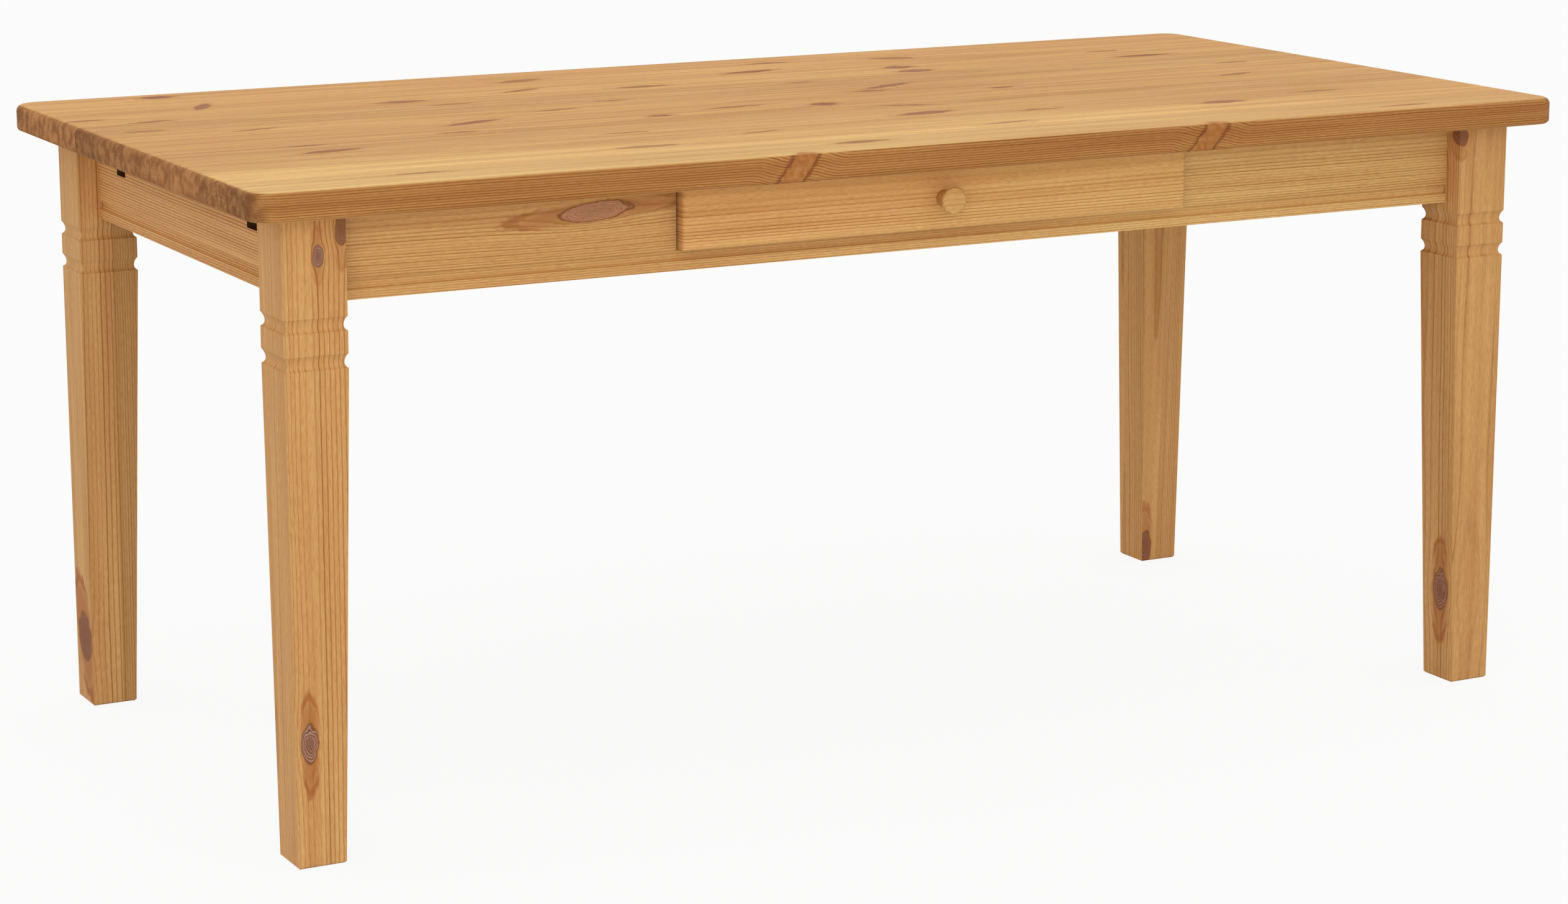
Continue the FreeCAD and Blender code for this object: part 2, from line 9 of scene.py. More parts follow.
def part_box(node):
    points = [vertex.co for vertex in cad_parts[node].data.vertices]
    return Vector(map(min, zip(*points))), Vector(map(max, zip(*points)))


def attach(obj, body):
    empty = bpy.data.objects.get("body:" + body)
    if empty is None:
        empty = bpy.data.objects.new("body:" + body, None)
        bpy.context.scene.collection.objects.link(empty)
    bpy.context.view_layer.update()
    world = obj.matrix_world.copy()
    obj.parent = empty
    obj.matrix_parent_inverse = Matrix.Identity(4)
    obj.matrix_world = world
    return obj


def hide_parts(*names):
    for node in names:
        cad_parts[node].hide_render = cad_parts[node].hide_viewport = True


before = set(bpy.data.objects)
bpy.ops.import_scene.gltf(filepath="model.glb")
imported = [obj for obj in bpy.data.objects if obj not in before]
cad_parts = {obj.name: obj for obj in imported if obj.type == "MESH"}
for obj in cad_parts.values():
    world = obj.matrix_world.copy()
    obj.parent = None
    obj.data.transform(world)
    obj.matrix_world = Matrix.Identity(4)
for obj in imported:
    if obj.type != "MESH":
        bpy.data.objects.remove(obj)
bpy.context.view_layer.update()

bl_info = {
    "name": "Pine dining table",
    "version": (1, 0, 0),
    "blender": (4, 5, 0),
    "location": "View3D > Sidebar > Table",
    "description": "Oiled pine, a turned knob, screws and a white studio for a dining table with a drawer",
    "category": "Object",
}

# Shapes of the table that the grain follows, read from the frame
TOP_LOW, TOP_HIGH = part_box("table_top")
TOP_MIDDLE = (TOP_LOW[2] + TOP_HIGH[2]) / 2
FRONT_EDGE = TOP_LOW[1]
LEG_LOW, LEG_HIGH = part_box("leg_front_left")
FRAME_X = -LEG_LOW[0]
FRAME_Y = -LEG_LOW[1]
LEG_HALF = (LEG_HIGH[0] - LEG_LOW[0]) / 2
DRAWER_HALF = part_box("drawer_front")[1][0]
CORNERS = (
    ("front_left", -1, -1),
    ("front_right", 1, -1),
    ("back_right", 1, 1),
    ("back_left", -1, 1),
)
SIDE_NAMES = (("left", -1), ("right", 1))

# The top is glued from this many staves
STAVES = 10

# Buttons hold the top at these distances from the table's middle, and their screws stand this far in
BUTTON_LONG = 0.510
BUTTON_SHORT = 0.090
BUTTON_SCREW_INSET = 0.020

# Slots for the bars of a leaf: the middle of each along the apron, half its width with its rim, its depth
SLOT_Y = 0.224
SLOT_HALF = 0.017
SLOT_DEPTH = 0.0385

# Grain directions: along the board, across its face, and through it
FLAT_BOARD = "XYZ"
UPRIGHT_POST = "ZXY"
LONG_RAIL = "XZY"
SHORT_RAIL = "YZX"

# Keeps what lies across and through a board, and drops what lies along it
ACROSS_GRAIN = (0.0, 1.0, 1.0)

# The middle of a noise's three numbers
NOISE_MIDDLE = (0.5, 0.5, 0.5)

# How strongly red, green and blue follow a streak, so that a dark one is also a warmer one
DARK_STREAK = (0.75, 1.25, 1.60)

# End grain takes up more oil and is darker
END_GRAIN_TINT = (0.70, 0.67, 0.77)

# The top's face at the back and along the front, and its rounded edge
TOP_FACE_TINTS = ((1.06, 1.03, 0.89), (1.21, 1.38, 1.36))
TOP_EDGE_TINT = (0.71, 0.60, 0.49)

# Tints of the front's boards at their left and right, which turn yellower to the right
APRON_TINTS = ((0.96, 1.00, 1.02), (1.03, 1.16, 1.20))
DRAWER_TINTS = ((1.00, 1.02, 1.00), (1.01, 1.11, 1.12))

# Tone and strength of the rings in the boards of the hidden frame and of the drawer's box
FRAME_PINE = (1.05, 0.6)
BOX_PINE = (1.08, 0.55)

# Steps between the random seeds of one stave, leg or lamina and the next
STAVE_SEED_STEP = 1.731
LEG_SEED_STEP = 2.1
LAMINA_SEED_STEP = 4.3

# The pith that the front apron and the drawer front were sawn beside
FRONT_PITH = (0.0, -0.325, 0.712)

# The drawer front's ends get painted shade, darker from its face back to the apron
SEAM = (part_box("drawer_front")[0][1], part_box("apron_front")[0][1])

# The focal length as a share of the picture's width, and the sensor's width in millimetres
FOCAL_SHARE = 6051.6 / 2526
SENSOR_WIDTH = 36.0

# A knot has its middle, its half sizes, how dark and how flamed it is, and a turn
Knot = namedtuple("Knot", "place reach dark flame turn", defaults=((0.0, 0.0, 0.0),))

# A lamina of a leg has the place of its pith in plan, the width of its rings, its tone and its knots
Lamina = namedtuple("Lamina", "pith ring_width tone knots", defaults=((),))

# Each leg's glue line along x, and the laminae to its left and right with the knots that show
LEGS = {
    "front_left": (
        -0.778,
        Lamina((-0.768, -0.332), 0.0026, 1.0, (
            Knot((-0.793, -0.385, 0.140), (0.0098, 0.022, 0.0235), 1.0, 0.9),
        )),
        Lamina((-0.690, -0.372), 0.0052, 1.0, (
            Knot((-0.770, -0.386, 0.673), (0.0072, 0.020, 0.0125), 1.0, 0.4),
            Knot((-0.743, -0.386, 0.699), (0.0080, 0.020, 0.0170), 0.8, 0.5),
        )),
    ),
    "front_right": (
        0.803,
        Lamina((0.780, -0.322), 0.0040, 0.97, (
            Knot((0.742, -0.387, 0.703), (0.0085, 0.020, 0.0120), 0.8, 0.5),
            Knot((0.738, -0.361, 0.118), (0.0200, 0.015, 0.0280), 0.9, 0.9),
        )),
        Lamina((0.880, -0.350), 0.0030, 0.97),
    ),
    "back_right": (
        0.778,
        Lamina((0.762, 0.372), 0.0042, 1.0, (
            Knot((0.757, 0.313, 0.020), (0.0125, 0.022, 0.0260), 0.8, 0.7),
        )),
        Lamina((0.880, 0.340), 0.0026, 0.97),
    ),
    "back_left": (
        -0.770,
        Lamina((-0.735, 0.352), 0.0046, 0.96, (
            Knot((-0.810, 0.352, 0.085), (0.0200, 0.026, 0.0320), 0.7, 1.0, (math.radians(14), 0.0, 0.0)),
        )),
        # Its tone of 0.80 is painted shade for the leg's inner side, which sits in the shade under the
        # table
        Lamina((-0.700, 0.352), 0.0028, 0.80),
    ),
}

# The table top's knots, each seen from above: x, y, half length, half width, turn in degrees, darkness
TOP_KNOTS = (
    (0.095, 0.287, 0.024, 0.012, 10, 1.0),
    (0.655, 0.202, 0.028, 0.011, 0, 1.0),
    (-0.430, -0.010, 0.024, 0.011, 20, 0.8),
    (0.180, 0.070, 0.027, 0.010, 22, 0.8),
    (0.293, 0.240, 0.014, 0.017, 0, 0.7),
    (0.293, 0.195, 0.017, 0.017, 0, 0.7),
    (0.337, 0.333, 0.021, 0.015, -15, 0.45),
    (-0.213, 0.338, 0.021, 0.015, 15, 0.45),
    (-0.428, 0.210, 0.022, 0.014, 0, 0.55),
    (-0.665, -0.158, 0.023, 0.012, 10, 0.75),
    (-0.103, -0.370, 0.023, 0.011, 0, 0.75),
    (-0.660, 0.280, 0.019, 0.012, 60, 0.6),
    (-0.680, 0.393, 0.013, 0.016, 0, 0.9),
    (-0.252, 0.245, 0.020, 0.007, 20, 0.7),
    (-0.100, 0.210, 0.023, 0.012, 0, 0.5),
    (-0.205, -0.057, 0.011, 0.009, 0, 0.95),
    (0.020, -0.052, 0.011, 0.015, 0, 1.0),
    (0.160, 0.362, 0.019, 0.007, 0, 0.8),
    (0.135, 0.035, 0.018, 0.008, 0, 0.6),
    (0.088, -0.184, 0.026, 0.014, 8, 0.75),
    (0.463, -0.265, 0.021, 0.014, 0, 0.6),
    (0.300, -0.012, 0.013, 0.008, 0, 0.8),
    (-0.085, -0.025, 0.026, 0.008, 5, 0.55),
    (0.645, -0.033, 0.020, 0.007, 15, 0.65),
    (0.105, -0.110, 0.022, 0.007, -20, 0.6),
    (-0.335, -0.290, 0.027, 0.010, 0, 0.35),
    # Small pale dashes
    (-0.825, 0.220, 0.018, 0.008, 0, 0.50),
    (-0.760, 0.175, 0.020, 0.007, 8, 0.45),
    (-0.795, 0.097, 0.018, 0.007, 0, 0.40),
    (-0.675, 0.052, 0.022, 0.006, 12, 0.50),
    (-0.675, -0.105, 0.016, 0.007, 0, 0.45),
    (-0.385, 0.160, 0.020, 0.006, 0, 0.45),
    (-0.295, 0.050, 0.020, 0.006, 6, 0.45),
    (-0.195, 0.100, 0.016, 0.007, 0, 0.40),
    (-0.307, -0.175, 0.022, 0.006, 0, 0.40),
    (-0.167, -0.242, 0.018, 0.006, 10, 0.45),
    (-0.475, -0.080, 0.018, 0.007, 0, 0.40),
    (-0.640, -0.362, 0.020, 0.006, 0, 0.40),
    (0.100, 0.155, 0.018, 0.006, 0, 0.40),
    (0.225, -0.220, 0.020, 0.006, 0, 0.45),
    (0.130, -0.305, 0.022, 0.006, 8, 0.40),
    (0.633, 0.270, 0.018, 0.007, 0, 0.45),
    (0.715, 0.078, 0.018, 0.007, 0, 0.45),
    (0.630, -0.230, 0.020, 0.007, 0, 0.45),
    (0.640, -0.395, 0.022, 0.006, 0, 0.40),
)

# Branches that come out on the top's front edge: x, lean, half width
EDGE_KNOTS = (
    (-0.217, 0.75, 0.016),
    (0.333, 0.85, 0.016),
)


def mixed(first, second, share):
    """A value part of the way from the first to the second."""
    return first + (second - first) * share


class TableFinish(bpy.types.PropertyGroup):
    """Colours, gloss and relief of the oiled pine and the drawer's panel."""

    early_wood: bpy.props.FloatVectorProperty(
        name="Early wood", description="Pale wood between the dark lines",
        subtype="COLOR", size=3, min=0, max=1, default=(0.600, 0.318, 0.114))
    late_wood: bpy.props.FloatVectorProperty(
        name="Late wood", description="Dark lines of the growth rings",
        subtype="COLOR", size=3, min=0, max=1, default=(0.300, 0.112, 0.024))
    flame_wood: bpy.props.FloatVectorProperty(
        name="Flame wood", description="Resinous orange wood around a knot",
        subtype="COLOR", size=3, min=0, max=1, default=(0.385, 0.126, 0.032))
    knot_heart: bpy.props.FloatVectorProperty(
        name="Knot heart", description="Red-brown inside of a knot",
        subtype="COLOR", size=3, min=0, max=1, default=(0.195, 0.066, 0.033))
    pink_heart: bpy.props.FloatVectorProperty(
        name="Pink heart", description="Pink inside of the front apron's long knot",
        subtype="COLOR", size=3, min=0, max=1, default=(0.400, 0.182, 0.095))
    red_heart: bpy.props.FloatVectorProperty(
        name="Red heart", description="Redder inside of the top's flat knots",
        subtype="COLOR", size=3, min=0, max=1, default=(0.270, 0.080, 0.030))
    knot_rings: bpy.props.FloatVectorProperty(
        name="Knot rings", description="Greyer rings inside a knot",
        subtype="COLOR", size=3, min=0, max=1, default=(0.420, 0.250, 0.175))
    roughness: bpy.props.FloatProperty(
        name="Roughness", description="How matt the oiled wood is",
        subtype="FACTOR", min=0, max=1, default=0.56)
    relief: bpy.props.FloatProperty(
        name="Relief", description="Height of the brushed grain",
        unit="LENGTH", min=0, max=0.002, default=0.00025)
    panel_wood: bpy.props.FloatVectorProperty(
        name="Panel", description="Pale veneer of the drawer's bottom panel",
        subtype="COLOR", size=3, min=0, max=1, default=(0.640, 0.440, 0.250))


class TableFittings(bpy.types.PropertyGroup):
    """Sizes of what the finish adds to the table."""

    stave_width: bpy.props.FloatProperty(
        name="Stave width", description="Width of one of the top's glued staves",
        unit="LENGTH", min=0.02, max=0.3, default=(TOP_HIGH[1] - TOP_LOW[1]) / STAVES)
    screw_head: bpy.props.FloatProperty(
        name="Screw head", description="Diameter of a pan head",
        unit="LENGTH", min=0.003, max=0.015, default=0.0085)
    screw_height: bpy.props.FloatProperty(
        name="Screw height", description="Height of a pan head",
        unit="LENGTH", min=0.001, max=0.006, default=0.0026)


class TableStage(bpy.types.PropertyGroup):
    """The white studio and its camera."""

    camera_place: bpy.props.FloatVectorProperty(
        name="Camera place", description="Where the camera stands",
        subtype="TRANSLATION", unit="LENGTH", size=3, default=(-2.17915, -4.06801, 1.33148))
    camera_yaw: bpy.props.FloatProperty(
        name="Camera yaw", description="Turn of the camera to the right of the table's depth",
        subtype="ANGLE", default=0.4905)
    camera_pitch: bpy.props.FloatProperty(
        name="Camera pitch", description="How far the camera looks down",
        subtype="ANGLE", default=0.20212)
    camera_lens: bpy.props.FloatProperty(
        name="Lens", description="Focal length in millimetres",
        unit="CAMERA", default=FOCAL_SHARE * SENSOR_WIDTH)
    camera_rise: bpy.props.FloatProperty(
        name="Rise", description="Upright shift of the picture",
        default=-0.04)
    sky: bpy.props.FloatProperty(
        name="Sky", description="Strength of the white light from all round",
        min=0, max=2, default=0.94)
    key: bpy.props.FloatProperty(
        name="Key lamp", description="Power of the large soft lamp",
        unit="POWER", min=0, max=2000, default=78)
    floor_shade: bpy.props.FloatProperty(
        name="Floor shade", description="How much of the table's shadow the white floor shows",
        subtype="FACTOR", min=0, max=1, default=0.10)


class Graph:
    """Adds nodes to one node tree and links them socket by socket."""

    # A Mix node's sockets for each kind of value: the first, the second and the result
    MIX_SOCKETS = {"FLOAT": (2, 3, 0), "VECTOR": (4, 5, 1), "RGBA": (6, 7, 2)}

    def __init__(self, tree):
        self.tree = tree

    def node(self, kind, **settings):
        made = self.tree.nodes.new(kind)
        for name, value in settings.items():
            setattr(made, name, value)
        return made

    def feed(self, socket, value):
        """Links a socket to another one, or gives it a plain value."""
        if isinstance(value, bpy.types.NodeSocket):
            self.tree.links.new(value, socket)
        else:
            socket.default_value = value

    def fed(self, kind, *values, **settings):
        """A new node whose first inputs get these values in their order."""
        made = self.node(kind, **settings)
        for socket, value in zip(made.inputs, values):
            self.feed(socket, value)
        return made

    def math(self, operation, *values):
        return self.fed("ShaderNodeMath", *values, operation=operation).outputs[0]

    def times(self, first, *others):
        """The product of two or more numbers."""
        for other in others:
            first = self.math("MULTIPLY", first, other)
        return first

    def plus(self, first, second):
        return self.math("ADD", first, second)

    def minus(self, first, second):
        return self.math("SUBTRACT", first, second)

    def larger(self, first, second):
        return self.math("MAXIMUM", first, second)

    def size(self, value):
        """A number without its sign."""
        return self.math("ABSOLUTE", value)

    def vector(self, operation, *values):
        made = self.fed("ShaderNodeVectorMath", *values, operation=operation)
        if operation in ("LENGTH", "DOT_PRODUCT"):
            return made.outputs["Value"]
        return made.outputs["Vector"]

    def scaled(self, vector, factor):
        """A vector or colour times one number."""
        made = self.node("ShaderNodeVectorMath", operation="SCALE")
        self.feed(made.inputs["Vector"], vector)
        self.feed(made.inputs["Scale"], factor)
        return made.outputs["Vector"]

    def split(self, vector):
        return self.fed("ShaderNodeSeparateXYZ", vector).outputs

    def join(self, x, y, z):
        return self.fed("ShaderNodeCombineXYZ", x, y, z).outputs[0]

    def noise(self, place, detail=2.0):
        """A soft cloud of one unit's grain, read at a place that is already scaled."""
        made = self.node("ShaderNodeTexNoise")
        self.feed(made.inputs["Vector"], place)
        made.inputs["Scale"].default_value = 1.0
        made.inputs["Detail"].default_value = detail
        return made

    def grain_noise(self, point, along, across, detail=2.0):
        """A noise with so many clouds to a metre along the grain, and so many across it."""
        return self.noise(self.vector("MULTIPLY", point, (along, across, across)), detail)

    def chance(self, seed):
        """Three random numbers that stay the same for one seed."""
        made = self.node("ShaderNodeTexWhiteNoise", noise_dimensions="1D")
        self.feed(made.inputs["W"], seed)
        return made

    def ease(self, value, low, high, start=0.0, end=1.0):
        """Goes smoothly from start to end while the value goes from low to high."""
        made = self.fed("ShaderNodeMapRange", value, low, high, start, end, interpolation_type="SMOOTHSTEP")
        return made.outputs["Result"]

    def stretch(self, value, low, high, start, end):
        """Goes straight from start to end while the value goes from low to high."""
        made = self.fed("ShaderNodeMapRange", value, low, high, start, end, interpolation_type="LINEAR")
        return made.outputs["Result"]

    def mix(self, kind, share, first, second):
        first_socket, second_socket, result = self.MIX_SOCKETS[kind]
        made = self.node("ShaderNodeMix", data_type=kind)
        self.feed(made.inputs[0], share)
        self.feed(made.inputs[first_socket], first)
        self.feed(made.inputs[second_socket], second)
        return made.outputs[result]

    def blend(self, share, first, second):
        """A colour between two colours."""
        return self.mix("RGBA", share, first, second)

    def between(self, share, first, second):
        """A vector between two vectors."""
        return self.mix("VECTOR", share, first, second)

    def value_between(self, share, first, second):
        """A number between two numbers."""
        return self.mix("FLOAT", share, first, second)

    def group(self, name, **values):
        """Places a node group and feeds its inputs, whose spaces are written as underscores."""
        made = self.node("ShaderNodeGroup", node_tree=bpy.data.node_groups[name])
        for socket_name, value in values.items():
            self.feed(made.inputs[socket_name.replace("_", " ")], value)
        return made.outputs


def new_group(name, inputs, outputs):
    """An empty node group with named sockets: its graph, what comes in and what goes out."""
    tree = bpy.data.node_groups.new(name, "ShaderNodeTree")
    for way, sockets in (("INPUT", inputs), ("OUTPUT", outputs)):
        for socket_name, kind in sockets:
            tree.interface.new_socket(socket_name, in_out=way, socket_type=f"NodeSocket{kind}")
    graph = Graph(tree)
    arriving = graph.node("NodeGroupInput").outputs
    leaving = graph.node("NodeGroupOutput").inputs
    return graph, arriving, leaving


def make_knot_group(name, ringed):
    """One knot, which pushes the grain aside and adds its marks to those of the knots before it."""
    masks = [("Bend", "Vector"), ("Heart", "Float"), ("Rings", "Float"), ("Flame", "Float")]
    graph, given, made = new_group(
        name,
        [("Point", "Vector"), ("Wobble", "Float"), ("Place", "Vector"), ("Along", "Vector"),
         ("Across", "Vector"), ("Through", "Vector"), ("Dark", "Float"), ("Flamed", "Float")] + masks,
        masks)
    offset = graph.vector("SUBTRACT", given["Point"], given["Place"])
    along, across, through = [
        graph.vector("DOT_PRODUCT", offset, given[axis]) for axis in ("Along", "Across", "Through")]
    share = graph.join(along, across, through)
    if ringed:
        reach = graph.vector("LENGTH", share)
    else:
        # A flat knot is pointed at both ends
        bow = graph.times(along, along, 0.36)
        reach = graph.plus(graph.size(across), bow)
    distance = graph.math("MULTIPLY_ADD", given["Wobble"], 0.4, reach)
    heart = graph.times(graph.ease(distance, 0.84, 1.04, 1.0, 0.0), given["Dark"])
    graph.feed(made["Heart"], graph.larger(given["Heart"], heart))
    # The flame reaches further along the grain than across it
    long_share = graph.vector("MULTIPLY", share, (0.30, 0.62, 0.62))
    ragged = graph.math("MULTIPLY_ADD", given["Wobble"], 0.3, graph.vector("LENGTH", long_share))
    glow = graph.ease(ragged, 0.45, 0.85, 0.75, 0.0)
    rings = given["Rings"]
    if ringed:
        # About six rings from the knot's middle to its rim, and a flame outlined at its tips
        swirl = graph.math("MULTIPLY_ADD", given["Wobble"], 13.0, graph.times(distance, 38.0))
        pale = graph.ease(distance, 0.10, 0.80, 0.45, 1.0)
        wave = graph.stretch(graph.math("SINE", swirl), -1.0, 1.0, 0.0, pale)
        rings = graph.larger(rings, graph.times(wave, heart))
        tip = graph.ease(graph.size(graph.split(long_share)["X"]), 0.25, 0.60)
        outline = graph.times(graph.ease(ragged, 0.50, 0.70), graph.ease(ragged, 0.72, 0.84, 1.0, 0.0))
        glow = graph.larger(glow, graph.times(outline, tip))
    graph.feed(made["Rings"], rings)
    graph.feed(made["Flame"], graph.larger(given["Flame"], graph.times(glow, given["Flamed"])))
    squared = graph.larger(graph.times(distance, distance), 1.0)
    push = graph.math("DIVIDE", 0.85, squared)
    aside = graph.scaled(graph.vector("MULTIPLY", offset, ACROSS_GRAIN), push)
    graph.feed(made["Bend"], graph.vector("ADD", given["Bend"], aside))


def make_ring_group():
    """Growth rings round a wandering pith, with streaks, fibres and broad clouds of tone."""
    graph, given, made = new_group(
        "Growth rings",
        [("Point", "Vector"), ("Facing", "Vector"), ("Bend", "Vector"), ("Pith", "Vector"),
         ("Ring width", "Float"), ("Line start", "Float"), ("Wander", "Float"), ("Seed", "Float")],
        [("Late", "Float"), ("Streak", "Float"), ("Fibre", "Float"), ("Cloud", "Float")])
    seeded = graph.vector("ADD", given["Point"], given["Seed"])
    drift = graph.grain_noise(seeded, 1.4, 9.0).outputs["Color"]
    drift_step = graph.vector("SUBTRACT", drift, NOISE_MIDDLE)
    wander = graph.scaled(graph.vector("MULTIPLY", drift_step, ACROSS_GRAIN), given["Wander"])
    straight = graph.vector("SUBTRACT", given["Point"], given["Bend"])
    placed = graph.vector("ADD", graph.vector("SUBTRACT", straight, given["Pith"]), wander)
    spoke = graph.vector("MULTIPLY", placed, ACROSS_GRAIN)
    radius = graph.vector("LENGTH", spoke)
    # Rings that lie flat in a face are fainter there than rings that it cuts squarely
    slab = graph.vector("DOT_PRODUCT", graph.vector("NORMALIZE", spoke), given["Facing"])
    crisp = graph.ease(graph.size(slab), 0.70, 1.0, 1.0, 0.45)
    ripple = graph.grain_noise(seeded, 4.0, 60.0).outputs["Fac"]
    waved = graph.math("MULTIPLY_ADD", ripple, 0.0013, radius)
    years = graph.math("DIVIDE", waved, given["Ring width"])
    season = graph.math("FRACT", years)
    rise = graph.ease(season, given["Line start"], 0.92)
    drop = graph.ease(season, 0.94, 1.0, 1.0, 0.0)
    year = graph.plus(graph.math("FLOOR", years), given["Seed"])
    luck = graph.chance(year).outputs["Value"]
    strength = graph.times(graph.stretch(luck, 0.0, 1.0, 0.35, 1.0), crisp)
    graph.feed(made["Late"], graph.times(graph.times(rise, drop), strength))
    graph.feed(made["Streak"], graph.grain_noise(seeded, 2.4, 80.0, 3.0).outputs["Fac"])
    graph.feed(made["Fibre"], graph.grain_noise(seeded, 110.0, 1700.0, 1.0).outputs["Fac"])
    graph.feed(made["Cloud"], graph.grain_noise(seeded, 2.2, 10.0).outputs["Fac"])


def make_surface_group():
    """Colour and gloss of oiled pine from its rings, streaks and knots."""
    graph, given, made = new_group(
        "Oiled pine",
        [("Late", "Float"), ("Streak", "Float"), ("Fibre", "Float"), ("Cloud", "Float"),
         ("Heart", "Float"), ("Rings", "Float"), ("Flame", "Float"), ("End", "Float"),
         ("Tone", "Float"), ("Contrast", "Float"), ("Glue line", "Float"), ("Gloss", "Float"),
         ("Rim", "Float"),
         ("Early wood", "Color"), ("Late wood", "Color"), ("Flame wood", "Color"),
         ("Knot heart", "Color"), ("Knot rings", "Color")],
        [("Color", "Color"), ("Roughness", "Float")])
    clear = graph.stretch(given["End"], 0.0, 1.0, 1.0, 0.30)
    line = graph.times(given["Late"], given["Contrast"], clear)
    wood = graph.blend(line, given["Early wood"], given["Late wood"])
    patch = graph.stretch(given["Cloud"], 0.25, 0.75, 0.95, 1.05)
    broad = graph.times(patch, graph.stretch(given["Streak"], 0.25, 0.75, 0.86, 1.14))
    fine = graph.stretch(given["Fibre"], 0.25, 0.75, 0.84, 1.16)
    change = graph.minus(graph.times(broad, fine), 1.0)
    warmth = graph.vector("ADD", graph.scaled(DARK_STREAK, change), (1.0, 1.0, 1.0))
    wood = graph.scaled(graph.vector("MULTIPLY", wood, warmth), given["Tone"])
    wood = graph.blend(given["Flame"], wood, graph.blend(line, given["Flame wood"], given["Late wood"]))
    knot = graph.blend(given["Rings"], given["Knot heart"], given["Knot rings"])
    wood = graph.blend(given["Heart"], wood, graph.scaled(knot, fine))
    # A knot's rim is where its heart is neither full nor gone
    inside = graph.minus(1.0, given["Heart"])
    rim = graph.times(given["Heart"], inside, given["Rim"])
    wood = graph.blend(rim, wood, graph.scaled(given["Flame wood"], 0.5))
    blotch = graph.ease(given["Streak"], 0.30, 0.70, 0.86, 1.18)
    end_wood = graph.scaled(graph.vector("MULTIPLY", wood, END_GRAIN_TINT), blotch)
    wood = graph.blend(given["End"], wood, end_wood)
    wood = graph.blend(given["Glue line"], wood, graph.scaled(wood, 0.55))
    graph.feed(made["Color"], wood)
    dull = graph.math("MULTIPLY_ADD", graph.minus(given["Fibre"], 0.5), 0.20, given["Gloss"])
    dull = graph.math("MULTIPLY_ADD", line, 0.06, dull)
    graph.feed(made["Roughness"], graph.math("MULTIPLY_ADD", given["End"], 0.18, dull))


def make_groups():
    """The effects that the wooden pieces share, each made once."""
    if "Oiled pine" not in bpy.data.node_groups:
        make_knot_group("Knot", True)
        make_knot_group("Flat knot", False)
        make_ring_group()
        make_surface_group()


def grain_order(values, axes):
    """A place or size of the table, in the order along, across and through the board."""
    return tuple(values["XYZ".index(axis)] for axis in axes)


def grain_point(graph, axes, end_start=0.84):
    """Where a point lies along, across and through its board, and how much of its face is end grain."""
    source = graph.node("ShaderNodeTexCoord")
    place = graph.split(source.outputs["Object"])
    point = graph.join(*[place[axis] for axis in axes])
    normal = graph.split(source.outputs["Normal"])
    facing = graph.join(*[normal[axis] for axis in axes])
    end = graph.ease(graph.size(normal[axes[0]]), end_start, 0.99)
    return point, facing, end


def add_knots(graph, point, knots, axes, kind="Knot", unevenness=(0.006, 0.003, 0.003)):
    """Passes the wood through every knot, and gives the bent grain and the knots' masks."""
    wobble = graph.grain_noise(point, 60.0, 110.0)
    wobble_step = graph.minus(wobble.outputs["Fac"], 0.5)
    shift = graph.vector("SUBTRACT", wobble.outputs["Color"], NOISE_MIDDLE)
    uneven = graph.vector("ADD", point, graph.vector("MULTIPLY", shift, unevenness))
    masks = {"Bend": (0.0, 0.0, 0.0), "Heart": 0.0, "Rings": 0.0, "Flame": 0.0}
    for knot in knots:
        turned = Euler(grain_order(knot.turn, axes)).to_matrix()
        along, across, through = [row / size for row, size in zip(turned, grain_order(knot.reach, axes))]
        outputs = graph.group(
            kind, Point=uneven, Wobble=wobble_step, Place=grain_order(knot.place, axes), Along=along,
            Across=across, Through=through, Dark=knot.dark, Flamed=knot.flame, **masks)
        masks = {name: outputs[name] for name in masks}
    return masks


def add_relief(graph, shader, height, strength):
    """Brushed grain that stands up a little from the surface."""
    bump = graph.node("ShaderNodeBump")
    bump.inputs["Distance"].default_value = bpy.context.scene.table_finish.relief
    bump.inputs["Strength"].default_value = strength
    graph.feed(bump.inputs["Height"], height)
    graph.feed(shader.inputs["Normal"], bump.outputs["Normal"])


